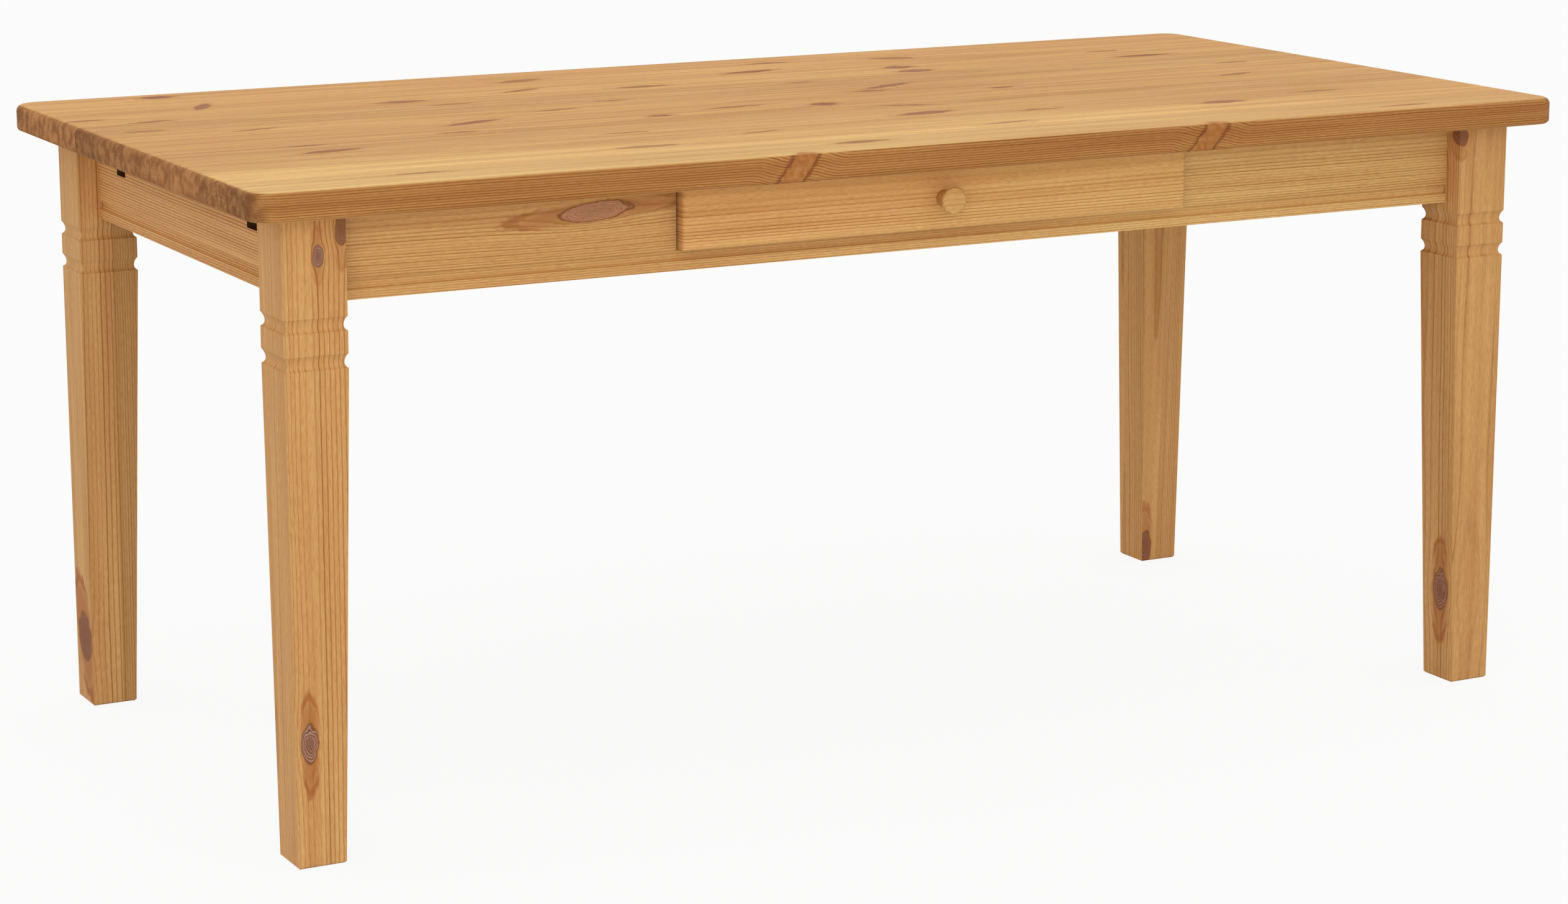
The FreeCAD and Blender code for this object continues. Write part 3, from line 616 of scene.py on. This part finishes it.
def finish_pine(material, graph, point, facing, end, masks, lay):
    """Joins rings, knots and surface, and gives them to the material's shader."""
    finish = bpy.context.scene.table_finish
    rings = graph.group("Growth rings", Point=point, Facing=facing, Bend=masks["Bend"], Pith=lay["pith"],
                        Ring_width=lay["ring_width"], Line_start=lay.get("line_start", 0.45),
                        Wander=lay.get("wander", 0.012), Seed=lay["seed"])
    streak = rings["Streak"]
    if "streaky" in lay:
        streak = graph.math("MULTIPLY_ADD", graph.minus(streak, 0.5), lay["streaky"], 0.5)
    # A heart of its own colour has rings of the same colour, only paler
    ring_wood = finish.knot_rings
    if "heart" in lay:
        ring_wood = [part * 1.4 for part in lay["heart"]]
    surface = graph.group(
        "Oiled pine", Late=rings["Late"], Streak=streak, Fibre=rings["Fibre"],
        Cloud=rings["Cloud"], Heart=masks["Heart"], Rings=masks["Rings"], Flame=masks["Flame"],
        End=end, Tone=lay["tone"], Contrast=lay["contrast"], Glue_line=lay.get("glue", 0.0),
        Gloss=finish.roughness, Rim=lay.get("rim", 2.8), Early_wood=(*finish.early_wood, 1.0),
        Late_wood=(*finish.late_wood, 1.0), Flame_wood=(*finish.flame_wood, 1.0),
        Knot_heart=(*lay.get("heart", finish.knot_heart), 1.0), Knot_rings=(*ring_wood, 1.0))
    shader = graph.tree.nodes["Principled BSDF"]
    colour = surface["Color"]
    if "edge" in lay:
        face_tint = graph.between(lay["pale"], *TOP_FACE_TINTS)
        face = graph.vector("MULTIPLY", colour, face_tint)
        rim = graph.vector("MULTIPLY", colour, TOP_EDGE_TINT)
        colour = graph.blend(lay["edge"], face, rim)
    if "tint" in lay:
        colour = graph.vector("MULTIPLY", colour, lay["tint"])
    graph.feed(shader.inputs["Base Color"], colour)
    graph.feed(shader.inputs["Roughness"], surface["Roughness"])
    shader.inputs["Specular IOR Level"].default_value = 0.08
    add_relief(graph, shader, rings["Fibre"], 0.6)
    return material


def new_material(name):
    """A material with a plain shader, and the graph that fills it."""
    material = bpy.data.materials.new(name)
    material.use_nodes = True
    return material, Graph(material.node_tree)


def slot_shade(graph, point, facing):
    """One on the walls of the two slots that an end apron has for the bars of a leaf."""
    inside = graph.math("GREATER_THAN", graph.split(point)["Y"], TOP_LOW[2] - SLOT_DEPTH)
    off_middle = graph.minus(graph.size(graph.split(point)["X"]), SLOT_Y)
    near = graph.math("LESS_THAN", graph.size(off_middle), SLOT_HALF)
    wall = graph.math("LESS_THAN", graph.size(graph.split(facing)["Z"]), 0.5)
    return graph.times(inside, near, wall)


def board_material(name, axes, pith, ring_width, seed, tone=1.0, contrast=1.0, knots=(), heart=None,
                   slotted=False, seam=None, tints=None):
    """Pine sawn from one place in a tree, for aprons, drawer boards and the frame inside."""
    material, graph = new_material(name)
    point, facing, end = grain_point(graph, axes)
    if seam:
        # The lines of the face run on over the board's ends, which get painted shade, darker towards the
        # apron
        places = graph.split(point)
        shade = graph.ease(places["Z"], mixed(*seam, 0.4), seam[1], 0.92, 0.35)
        tone = graph.times(graph.value_between(end, 1.0, shade), tone)
        point = graph.join(places["X"], places["Y"], seam[0])
    end = graph.times(end, 0.1 if seam else 0.3)
    masks = add_knots(graph, point, knots, axes)
    if slotted:
        # The walls of the slots get painted shade: their tone drops to 0.15
        tone = graph.stretch(slot_shade(graph, point, facing), 0.0, 1.0, tone, 0.15)
    lay = {"pith": grain_order(pith, axes), "ring_width": ring_width, "seed": seed,
           "tone": tone, "contrast": contrast, "line_start": 0.42, "wander": 0.003}
    if heart:
        lay["heart"] = heart
    if tints:
        rightward = graph.ease(graph.split(point)["X"], -DRAWER_HALF, DRAWER_HALF)
        lay["tint"] = graph.between(rightward, *tints)
    return finish_pine(material, graph, point, facing, end, masks, lay)


def front_board(name, tone, **more):
    """Pine of the apron, drawer front and knob, whose grain runs on from one to the next."""
    return board_material(name, LONG_RAIL, FRONT_PITH, 0.0026, 2.6, tone, 0.9, **more)


def top_knots():
    """The top's knots, which go right through it."""
    knots = []
    for x, y, half_length, half_width, turn, dark in TOP_KNOTS:
        reach = (half_length, half_width * 0.85, 0.06)
        spin = (0.0, 0.0, math.radians(-turn))
        knots.append(Knot((x, y, TOP_MIDDLE), reach, mixed(0.35, 0.80, dark), dark * 0.7, spin))
    return knots


def add_branches(graph, point, edge, masks):
    """Adds branches that lean across the front edge, orange in a dark outline, and gives their mask."""
    bodies, outlines = 0.0, 0.0
    parts = graph.split(point)
    mottle = graph.noise(graph.scaled(point, 130.0)).outputs["Fac"]
    ragged = graph.minus(mottle, 0.5)
    for x, lean, half_width in EDGE_KNOTS:
        rise = graph.minus(parts["Z"], TOP_MIDDLE)
        along = graph.minus(graph.minus(parts["X"], x), graph.times(rise, lean))
        inward = graph.math("DIVIDE", graph.minus(parts["Y"], FRONT_EDGE), half_width * 1.1)
        sideways = graph.math("DIVIDE", along, half_width)
        reach = graph.vector("LENGTH", graph.join(sideways, inward, 0.0))
        away = graph.math("MULTIPLY_ADD", ragged, 0.5, reach)
        bodies = graph.larger(bodies, graph.ease(away, 0.80, 1.0, 1.0, 0.0))
        near = graph.times(graph.ease(away, 0.80, 0.96), graph.ease(away, 1.0, 1.35, 1.0, 0.0))
        outlines = graph.larger(outlines, near)
        # The grain swings away from the branch on either side
        pull = graph.ease(away, 0.9, 3.6, 0.007, 0.0)
        swing = graph.times(graph.math("SIGN", along), pull)
        masks["Bend"] = graph.vector("ADD", masks["Bend"], graph.join(0.0, 0.0, swing))
    orange = graph.times(bodies, graph.stretch(mottle, 0.3, 0.7, 0.55, 1.0))
    masks["Flame"] = graph.larger(masks["Flame"], orange)
    shown = graph.times(outlines, graph.stretch(edge, 0.0, 1.0, 0.15, 0.75))
    masks["Heart"] = graph.larger(masks["Heart"], shown)
    return bodies


def stave_numbers(graph, across, width):
    """A stave's number from the front, how far across it a point lies, and three chances of its own."""
    # Counted from a hair in front of the edge, so that the edge itself is on the first stave
    place = graph.math("DIVIDE", graph.minus(across, FRONT_EDGE - 0.0001), width)
    stave = graph.math("FLOOR", place)
    within = graph.math("FRACT", place)
    luck = graph.split(graph.chance(graph.plus(stave, 3.7)).outputs["Color"])
    return stave, within, luck


def stave_pith(graph, stave, luck, width):
    """Each stave's pith, below it or near the front edge, and a mask of the front stave."""
    middle = graph.plus(graph.times(graph.plus(stave, 0.5), width), FRONT_EDGE)
    pith_across = graph.plus(middle, graph.stretch(luck["X"], 0.0, 1.0, -0.05, 0.05))
    pith_through = graph.stretch(luck["Y"], 0.0, 1.0, TOP_MIDDLE - 0.10, TOP_MIDDLE - 0.02)
    front = graph.math("LESS_THAN", stave, 0.5)
    front_pith = (0.0, FRONT_EDGE + 0.006, TOP_LOW[2] - 0.010)
    pith = graph.between(front, graph.join(0.0, pith_across, pith_through), front_pith)
    return pith, front


def top_material():
    """Full-length staves with their own pith and tone, bright on top and deep orange along the edge."""
    width = bpy.context.scene.table_fittings.stave_width
    material, graph = new_material("pine_top")
    point, facing, end = grain_point(graph, FLAT_BOARD, 0.30)
    masks = add_knots(graph, point, top_knots(), FLAT_BOARD, "Flat knot", (0.014, 0.007, 0.003))
    upward = graph.size(graph.split(facing)["Z"])
    edge = graph.ease(upward, 0.80, 0.98, 1.0, 0.0)
    branch = add_branches(graph, point, edge, masks)
    across = graph.split(point)["Y"]
    stave, within, luck = stave_numbers(graph, across, width)
    pith, front = stave_pith(graph, stave, luck, width)
    sideways = graph.size(graph.split(facing)["Y"])
    joint = graph.ease(graph.size(graph.minus(within, 0.5)), 0.494, 0.499, 0.0, 0.5)
    stave_tone = graph.stretch(luck["Z"], 0.0, 1.0, 0.96, 1.10)
    near = graph.ease(across, FRONT_EDGE, FRONT_EDGE + 4 * width, 1.0, 0.0)
    pale = graph.times(near, graph.ease(graph.split(point)["X"], 0.0, TOP_HIGH[0], 1.0, 0.3))
    ring_width = graph.value_between(front, graph.stretch(luck["Z"], 0.0, 1.0, 0.0030, 0.0048), 0.0027)
    seed = graph.times(stave, STAVE_SEED_STEP)
    end_tone = graph.value_between(end, 1.0, graph.stretch(luck["Y"], 0.0, 1.0, 0.80, 1.25))
    tone = graph.times(stave_tone, end_tone)
    lines = graph.ease(upward, 0.80, 0.98, 1.15, 0.5)
    lay = {
        "pith": pith,
        "ring_width": ring_width,
        "seed": seed,
        "tone": tone,
        "contrast": graph.times(lines, graph.stretch(branch, 0.0, 1.0, 1.0, 0.35)),
        "glue": graph.times(joint, graph.ease(sideways, 0.3, 0.6, 1.0, 0.0)),
        "edge": graph.times(edge, graph.stretch(branch, 0.0, 1.0, 1.0, 0.55)),
        "line_start": 0.40,
        "pale": pale,
        "streaky": 1.5,
        "rim": 0.3,
        "heart": bpy.context.scene.table_finish.red_heart,
    }
    return finish_pine(material, graph, point, facing, end, masks, lay)


def flush_point(graph, point, facing, middle):
    """The point brought out to the leg's square faces, so that the grain runs on through its coves."""
    places = graph.split(point)
    normals = graph.split(facing)
    flushed = [places["X"]]
    for axis, centre in zip("YZ", middle):
        face = graph.math("MULTIPLY_ADD", graph.math("SIGN", normals[axis]), LEG_HALF, centre)
        share = graph.ease(graph.size(normals[axis]), 0.05, 0.15)
        flushed.append(graph.value_between(share, places[axis], face))
    return graph.join(*flushed)


def leg_material(name, middle, split, left, right, seed):
    """A leg of two glued laminae, each with its own pith, rings and knots."""
    material, graph = new_material(name)
    point, facing, end = grain_point(graph, UPRIGHT_POST)
    point = flush_point(graph, point, facing, middle)
    side = graph.math("GREATER_THAN", graph.split(point)["Y"], split)
    halves = [add_knots(graph, point, lamina.knots, UPRIGHT_POST) for lamina in (left, right)]
    masks = {"Bend": graph.between(side, halves[0]["Bend"], halves[1]["Bend"])}
    for mask in ("Heart", "Rings", "Flame"):
        masks[mask] = graph.value_between(side, halves[0][mask], halves[1][mask])
    off_line = graph.size(graph.minus(graph.split(point)["Y"], split))
    lay = {
        "pith": graph.between(side, (0.0, *left.pith), (0.0, *right.pith)),
        "ring_width": graph.value_between(side, left.ring_width, right.ring_width),
        "seed": graph.math("MULTIPLY_ADD", side, LAMINA_SEED_STEP, seed),
        "tone": graph.value_between(side, left.tone, right.tone),
        "contrast": 1.0,
        "line_start": 0.62,
        "glue": graph.ease(off_line, 0.0001, 0.0004, 0.45, 0.0),
    }
    return finish_pine(material, graph, point, facing, end, masks, lay)


def panel_material():
    """The drawer's thin bottom panel: pale peeled veneer with short pores."""
    material, graph = new_material("drawer_panel")
    point, facing, _ = grain_point(graph, FLAT_BOARD)
    rings = graph.group("Growth rings", Point=point, Facing=facing, Bend=(0.0, 0.0, 0.0),
                        Pith=(0.0, 0.1, -0.9), Ring_width=0.0022, Line_start=0.20, Wander=0.02, Seed=8.4)
    pale = tuple(bpy.context.scene.table_finish.panel_wood)
    dark = tuple(part * 0.72 for part in pale)
    wood = graph.between(graph.times(rings["Late"], 0.30), pale, dark)
    shade = graph.times(graph.stretch(rings["Streak"], 0.25, 0.75, 0.92, 1.08),
                        graph.stretch(rings["Fibre"], 0.25, 0.75, 0.94, 1.06))
    shader = graph.tree.nodes["Principled BSDF"]
    graph.feed(shader.inputs["Base Color"], graph.scaled(wood, shade))
    graph.feed(shader.inputs["Roughness"], graph.stretch(rings["Fibre"], 0.2, 0.8, 0.55, 0.70))
    add_relief(graph, shader, rings["Fibre"], 0.3)
    return material


def dress(node_name, material):
    """Gives a CAD node its finish."""
    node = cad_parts[node_name]
    node.data.materials.clear()
    node.data.materials.append(material)


def front_apron_material():
    """The front apron's board: plain above, dense straight lines below, one long knot."""
    tilt = (0.0, math.radians(-4), 0.0)
    long_knot = Knot((-0.434, -0.359, 0.693), (0.046, 0.03, 0.0110), 1.0, 0.75, tilt)
    pink = bpy.context.scene.table_finish.pink_heart
    # Its tone of 1.09 is partly the board's own and partly painted light that lifts it out of the shade
    # under the top's overhang
    return front_board("pine_apron_front", 1.09, knots=(long_knot,), heart=pink, tints=APRON_TINTS)


class TABLE_OT_top(bpy.types.Operator):
    """Finishes the table top"""

    bl_idname = "table.finish_top"
    bl_label = "Top"

    def execute(self, context):
        make_groups()
        dress("table_top", top_material())
        return {"FINISHED"}


class TABLE_OT_legs(bpy.types.Operator):
    """Finishes the four legs, each of two glued laminae"""

    bl_idname = "table.finish_legs"
    bl_label = "Legs"

    def execute(self, context):
        make_groups()
        for index, (corner, x_side, y_side) in enumerate(CORNERS):
            middle = (x_side * (FRAME_X - LEG_HALF), y_side * (FRAME_Y - LEG_HALF))
            seed = 1.3 + index * LEG_SEED_STEP
            dress(f"leg_{corner}", leg_material(f"pine_leg_{corner}", middle, *LEGS[corner], seed))
        return {"FINISHED"}


class TABLE_OT_aprons(bpy.types.Operator):
    """Finishes the four moulded aprons"""

    bl_idname = "table.finish_aprons"
    bl_label = "Aprons"

    def execute(self, context):
        make_groups()
        dress("apron_front", front_apron_material())
        dress("apron_back", board_material("pine_apron_back", LONG_RAIL, (0.0, 0.300, 0.700), 0.0021, 5.2))
        for name, side in SIDE_NAMES:
            pith = (side * (FRAME_X - 0.085), 0.0, 0.735)
            # Their tone of 1.11 is partly the boards' own and partly painted light that lifts them out of
            # the shade under the top's overhang
            dress(f"apron_{name}", board_material(
                f"pine_apron_{name}", SHORT_RAIL, pith, 0.0026, 7.1 + side, 1.11, slotted=True))
        return {"FINISHED"}


class TABLE_OT_underframe(bpy.types.Operator):
    """Finishes the plainer wood that nobody sees from above"""

    bl_idname = "table.finish_underframe"
    bl_label = "Underframe"

    def execute(self, context):
        make_groups()
        for corner, x_side, y_side in CORNERS:
            pith = (x_side * 0.70, y_side * 0.26, 0.0)
            seed = 9.0 + x_side + 3 * y_side
            dress(f"corner_block_{corner}", board_material(
                f"pine_block_{corner}", UPRIGHT_POST, pith, 0.0034, seed, *FRAME_PINE))
        dress("top_buttons", board_material(
            "pine_buttons", FLAT_BOARD, (0.0, 0.04, 0.66), 0.0031, 11.3, *FRAME_PINE))
        for name, side in SIDE_NAMES:
            pith = (side * 0.385, 0.0, 0.64)
            plain = board_material(f"pine_guide_{name}", SHORT_RAIL, pith, 0.0033, 13.7 + side, *FRAME_PINE)
            dress(f"drawer_guide_{name}", plain)
            dress(f"drawer_runner_{name}", plain)
        return {"FINISHED"}


class TABLE_OT_drawer(bpy.types.Operator):
    """Finishes the drawer's front, box and bottom"""

    bl_idname = "table.finish_drawer"
    bl_label = "Drawer"

    def execute(self, context):
        make_groups()
        # Its tone of 1.15 is partly the board's own and partly painted light that lifts it out of the shade
        # under the top's overhang
        dress("drawer_front", front_board("pine_drawer_front", 1.15, seam=SEAM, tints=DRAWER_TINTS))
        for name, side in SIDE_NAMES:
            pith = (side * 0.36, 0.0, 0.66)
            dress(f"drawer_side_{name}", board_material(
                f"pine_drawer_side_{name}", SHORT_RAIL, pith, 0.0032, 15.1 + side, *BOX_PINE))
        dress("drawer_back", board_material(
            "pine_drawer_back", LONG_RAIL, (0.0, 0.09, 0.66), 0.0032, 17.9, *BOX_PINE))
        dress("drawer_bottom", panel_material())
        return {"FINISHED"}


def new_piece(name, body, mesh, material):
    """Puts a finished bmesh into the scene as a piece that rides on a body."""
    data = bpy.data.meshes.new(name)
    mesh.to_mesh(data)
    mesh.free()
    piece = bpy.data.objects.new(name, data)
    bpy.context.scene.collection.objects.link(piece)
    data.materials.append(material)
    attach(piece, body)
    return piece


def spun(mesh, profile, steps):
    """Turns a profile of radii and heights into a shape round the Z axis."""
    verts = [mesh.verts.new((radius, 0.0, height)) for radius, height in profile]
    edges = [mesh.edges.new(pair) for pair in zip(verts, verts[1:])]
    bmesh.ops.spin(mesh, geom=verts + edges, cent=(0, 0, 0), axis=(0, 0, 1), dvec=(0, 0, 0),
                   angle=math.tau, steps=steps, use_merge=True)
    bmesh.ops.remove_doubles(mesh, verts=mesh.verts, dist=1e-6)
    bmesh.ops.recalc_face_normals(mesh, faces=mesh.faces)


class TABLE_OT_knob(bpy.types.Operator):
    """Turns the drawer's knob with a soft rim"""

    bl_idname = "table.turn_knob"
    bl_label = "Knob"

    def execute(self, context):
        make_groups()
        low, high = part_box("drawer_knob")
        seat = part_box("drawer_front")[0][1]
        length = seat - low[1]
        head = (high[0] - low[0]) / 2
        base = head * 0.62
        spigot = base * 0.5
        spigot_foot = -0.004
        profile = [(0.0, spigot_foot), (spigot, spigot_foot), (spigot, 0.0), (base, 0.0)]
        flare_steps = 8
        for step in range(1, flare_steps):
            share = step / flare_steps
            radius = mixed(base * 0.98, head, share ** 2.2)
            profile.append((radius, length * mixed(0.04, 0.82, share)))
        profile += [(head, length * 0.88), (head - 0.0006, length * 0.94), (head - 0.0020, length * 0.985),
                    (head - 0.0040, length), (0.0, length)]
        mesh = bmesh.new()
        spun(mesh, profile, 56)
        turn = Matrix.Rotation(math.radians(90), 4, "X")
        middle = ((low[0] + high[0]) / 2, seat, (low[2] + high[2]) / 2)
        bmesh.ops.transform(mesh, matrix=Matrix.Translation(middle) @ turn, verts=mesh.verts)
        for face in mesh.faces:
            face.smooth = True
        # The knob gets less of the painted light than the drawer front, as it stands out from the shade
        # under the top's overhang
        wood = front_board("pine_knob", 1.02, tints=DRAWER_TINTS)
        knob = new_piece("turned_knob", "drawer", mesh, wood)
        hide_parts("drawer_knob")
        return {"FINISHED"}


def pan_head(diameter, height):
    """A pan head with a cross recess, its seat on the XY plane and its top along Z."""
    radius = diameter / 2
    mesh = bmesh.new()
    profile = [(0.0, 0.0), (radius, 0.0), (radius, height * 0.45), (radius * 0.90, height * 0.78),
               (radius * 0.70, height * 0.95), (radius * 0.62, height)]
    spun(mesh, profile, 20)
    rim = [edge for edge in mesh.edges if edge.is_boundary and edge.verts[0].co.z > height * 0.9]
    bmesh.ops.contextual_create(mesh, geom=rim)
    half_slot, reach = radius * 0.13, radius * 0.52
    for axis in ((1, 0, 0), (0, 1, 0)):
        for offset in (-reach, -half_slot, half_slot, reach):
            top = [face for face in mesh.faces if face.calc_center_median().z > height * 0.999]
            edges = {edge for face in top for edge in face.edges}
            verts = {vert for face in top for vert in face.verts}
            bmesh.ops.bisect_plane(mesh, geom=top + list(edges) + list(verts), dist=1e-7,
                                   plane_co=Vector(axis) * offset, plane_no=axis)
    cross = []
    for face in mesh.faces:
        middle = face.calc_center_median()
        across, along = sorted((abs(middle.x), abs(middle.y)))
        if middle.z > height * 0.999 and across < half_slot and along < reach:
            cross.append(face)
    sunk = bmesh.ops.extrude_face_region(mesh, geom=cross)
    sunk_verts = [part for part in sunk["geom"] if isinstance(part, bmesh.types.BMVert)]
    bmesh.ops.delete(mesh, geom=cross, context="FACES_ONLY")
    bmesh.ops.translate(mesh, vec=(0, 0, -height * 0.6), verts=sunk_verts)
    bmesh.ops.recalc_face_normals(mesh, faces=mesh.faces)
    return mesh


def block_screws():
    """Four screws on each corner block's inner face, two towards either apron."""
    places = []
    for corner, x_side, y_side in CORNERS:
        low, high = (Vector(point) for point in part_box(f"corner_block_{corner}"))
        inwards = Vector((-x_side, -y_side, 0)).normalized()
        along = Vector((-y_side, x_side, 0)).normalized()
        half_face = (high - low).xy.length / 2
        half_height = (high - low).z / 2
        for end in (-0.68, 0.68):
            for lift in (-0.55, 0.55):
                offset = along * end * half_face + Vector((0, 0, lift * half_height))
                places.append(((low + high) / 2 + offset, inwards))
    return places


def button_screws():
    """One screw up through the pad of each wooden button."""
    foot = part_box("top_buttons")[0][2]
    inner_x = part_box("apron_right")[0][0] - BUTTON_SCREW_INSET
    inner_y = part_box("apron_back")[0][1] - BUTTON_SCREW_INSET
    down = Vector((0, 0, -1))
    places = []
    for side in (-1, 1):
        for along in (-1, 1):
            places.append((Vector((along * BUTTON_LONG, side * inner_y, foot)), down))
            places.append((Vector((side * inner_x, along * BUTTON_SHORT, foot)), down))
    return places


def runner_screws():
    """Four screws through each runner into the guide behind it."""
    places = []
    for name, side in SIDE_NAMES:
        low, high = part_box(f"drawer_runner_{name}")
        face = low[0] if side > 0 else high[0]
        for share in (0.12, 0.38, 0.62, 0.88):
            place = Vector((face, mixed(low[1], high[1], share), (low[2] + high[2]) / 2))
            places.append((place, Vector((-side, 0, 0))))
    return places


def bottom_screws():
    """Four screws up through the drawer's bottom panel into its back."""
    low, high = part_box("drawer_back")
    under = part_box("drawer_bottom")[0][2]
    places = []
    for share in (0.1, 0.37, 0.63, 0.9):
        place = Vector((mixed(low[0], high[0], share), (low[1] + high[1]) / 2, under))
        places.append((place, Vector((0, 0, -1))))
    return places


class TABLE_OT_screws(bpy.types.Operator):
    """Adds the heads of the wood screws under the top and the drawer, plated like the bolts"""

    bl_idname = "table.add_screws"
    bl_label = "Screws"

    def execute(self, context):
        fittings = context.scene.table_fittings
        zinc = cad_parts["hanger_bolts"].data.materials[0]
        head = pan_head(fittings.screw_head, fittings.screw_height)
        for name, body, places in (("block_screws", "table", block_screws()),
                                   ("button_screws", "table", button_screws()),
                                   ("runner_screws", "table", runner_screws()),
                                   ("drawer_bottom_screws", "drawer", bottom_screws())):
            gathered = bmesh.new()
            for index, (place, facing) in enumerate(places):
                turn = facing.to_track_quat("Z", "Y").to_matrix().to_4x4()
                spin = Matrix.Rotation(index * 0.7, 4, "Z")
                one = head.copy()
                bmesh.ops.transform(one, matrix=Matrix.Translation(place) @ turn @ spin, verts=one.verts)
                holder = bpy.data.meshes.new("one_screw")
                one.to_mesh(holder)
                gathered.from_mesh(holder)
                one.free()
                bpy.data.meshes.remove(holder)
            new_piece(name, body, gathered, zinc)
        head.free()
        return {"FINISHED"}


class TABLE_OT_stage(bpy.types.Operator):
    """Sets up the white floor, soft light and camera"""

    bl_idname = "table.set_stage"
    bl_label = "Stage"

    def execute(self, context):
        stage = context.scene.table_stage
        make_floor(stage)
        make_sky(context.scene, stage)
        make_key_lamp(stage)
        make_camera(context.scene, stage)
        context.scene.view_settings.view_transform = "Standard"
        return {"FINISHED"}


def seen_share(graph):
    """One for rays that show the background: from the camera, or by a mirror or glass."""
    path = graph.node("ShaderNodeLightPath")
    seen = graph.larger(path.outputs["Is Camera Ray"], path.outputs["Is Glossy Ray"])
    return graph.larger(seen, path.outputs["Is Transmission Ray"])


def make_floor(stage):
    """A wide white floor that keeps a faint shadow."""
    mesh = bmesh.new()
    bmesh.ops.create_grid(mesh, x_segments=1, y_segments=1, size=30.0)
    data = bpy.data.meshes.new("floor")
    mesh.to_mesh(data)
    mesh.free()
    floor = bpy.data.objects.new("floor", data)
    bpy.context.scene.collection.objects.link(floor)
    material, graph = new_material("white_floor")
    nodes = graph.tree.nodes
    shader = nodes["Principled BSDF"]
    shader.inputs["Base Color"].default_value = (0.72, 0.72, 0.72, 1.0)
    shader.inputs["Roughness"].default_value = 0.9
    shader.inputs["Specular IOR Level"].default_value = 0.0
    glow = graph.node("ShaderNodeEmission")
    glow.inputs["Strength"].default_value = 1.0
    mix = graph.node("ShaderNodeMixShader")
    graph.feed(mix.inputs[0], graph.times(seen_share(graph), 1.0 - stage.floor_shade))
    graph.feed(mix.inputs[1], shader.outputs[0])
    graph.feed(mix.inputs[2], glow.outputs[0])
    graph.feed(nodes["Material Output"].inputs["Surface"], mix.outputs[0])
    data.materials.append(material)


def make_sky(scene, stage):
    """Even white light from all round, plain white where it is seen."""
    world = bpy.data.worlds.new("white_studio")
    world.use_nodes = True
    scene.world = world
    graph = Graph(world.node_tree)
    background = world.node_tree.nodes["Background"]
    background.inputs["Color"].default_value = (1.0, 1.0, 1.0, 1.0)
    graph.feed(background.inputs["Strength"], graph.value_between(seen_share(graph), stage.sky, 1.0))


def make_key_lamp(stage):
    """A large soft lamp above, in front and to the left."""
    lamp = bpy.data.lights.new("soft_key", "AREA")
    lamp.shape = "RECTANGLE"
    lamp.size = 4.0
    lamp.size_y = 4.0
    lamp.energy = stage.key
    key = bpy.data.objects.new("soft_key", lamp)
    place = Vector((-2.6, -4.6, 1.2))
    aim = Vector((0, 0, 0.5))
    key.location = place
    key.rotation_euler = (place - aim).to_track_quat("Z", "Y").to_euler()
    bpy.context.scene.collection.objects.link(key)


def make_camera(scene, stage):
    """The camera, placed and turned as the picture was taken."""
    data = bpy.data.cameras.new("camera")
    data.sensor_width = SENSOR_WIDTH
    data.lens = stage.camera_lens
    data.shift_y = stage.camera_rise
    data.clip_end = 100.0
    camera = bpy.data.objects.new("camera", data)
    camera.location = stage.camera_place
    camera.rotation_euler = (math.radians(90) - stage.camera_pitch, 0.0, -stage.camera_yaw)
    scene.collection.objects.link(camera)
    scene.camera = camera


class TABLE_PT_build(bpy.types.Panel):
    """Lists the steps that finish the table"""

    bl_label = "Pine dining table"
    bl_idname = "TABLE_PT_build"
    bl_space_type = "VIEW_3D"
    bl_region_type = "UI"
    bl_category = "Table"

    def draw(self, context):
        layout = self.layout
        for operator in OPERATORS:
            layout.operator(operator.bl_idname, text=operator.bl_label)
        for group in (context.scene.table_finish, context.scene.table_fittings, context.scene.table_stage):
            box = layout.box()
            for name in group.__annotations__:
                box.prop(group, name)


OPERATORS = (TABLE_OT_top, TABLE_OT_legs, TABLE_OT_aprons, TABLE_OT_underframe, TABLE_OT_drawer,
             TABLE_OT_knob, TABLE_OT_screws, TABLE_OT_stage)
GROUPS = (
    ("table_finish", TableFinish),
    ("table_fittings", TableFittings),
    ("table_stage", TableStage),
)


def register():
    """Makes the settings, steps and panel known."""
    for name, group in GROUPS:
        bpy.utils.register_class(group)
        setattr(bpy.types.Scene, name, bpy.props.PointerProperty(type=group))
    for operator in OPERATORS:
        bpy.utils.register_class(operator)
    bpy.utils.register_class(TABLE_PT_build)


def unregister():
    """Takes them away again."""
    bpy.utils.unregister_class(TABLE_PT_build)
    for operator in reversed(OPERATORS):
        bpy.utils.unregister_class(operator)
    for name, group in reversed(GROUPS):
        delattr(bpy.types.Scene, name)
        bpy.utils.unregister_class(group)


def main():
    """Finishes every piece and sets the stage."""
    register()
    bpy.ops.table.finish_top()
    bpy.ops.table.finish_legs()
    bpy.ops.table.finish_aprons()
    bpy.ops.table.finish_underframe()
    bpy.ops.table.finish_drawer()
    bpy.ops.table.turn_knob()
    bpy.ops.table.add_screws()
    bpy.ops.table.set_stage()


if __name__ == "__main__":
    main()
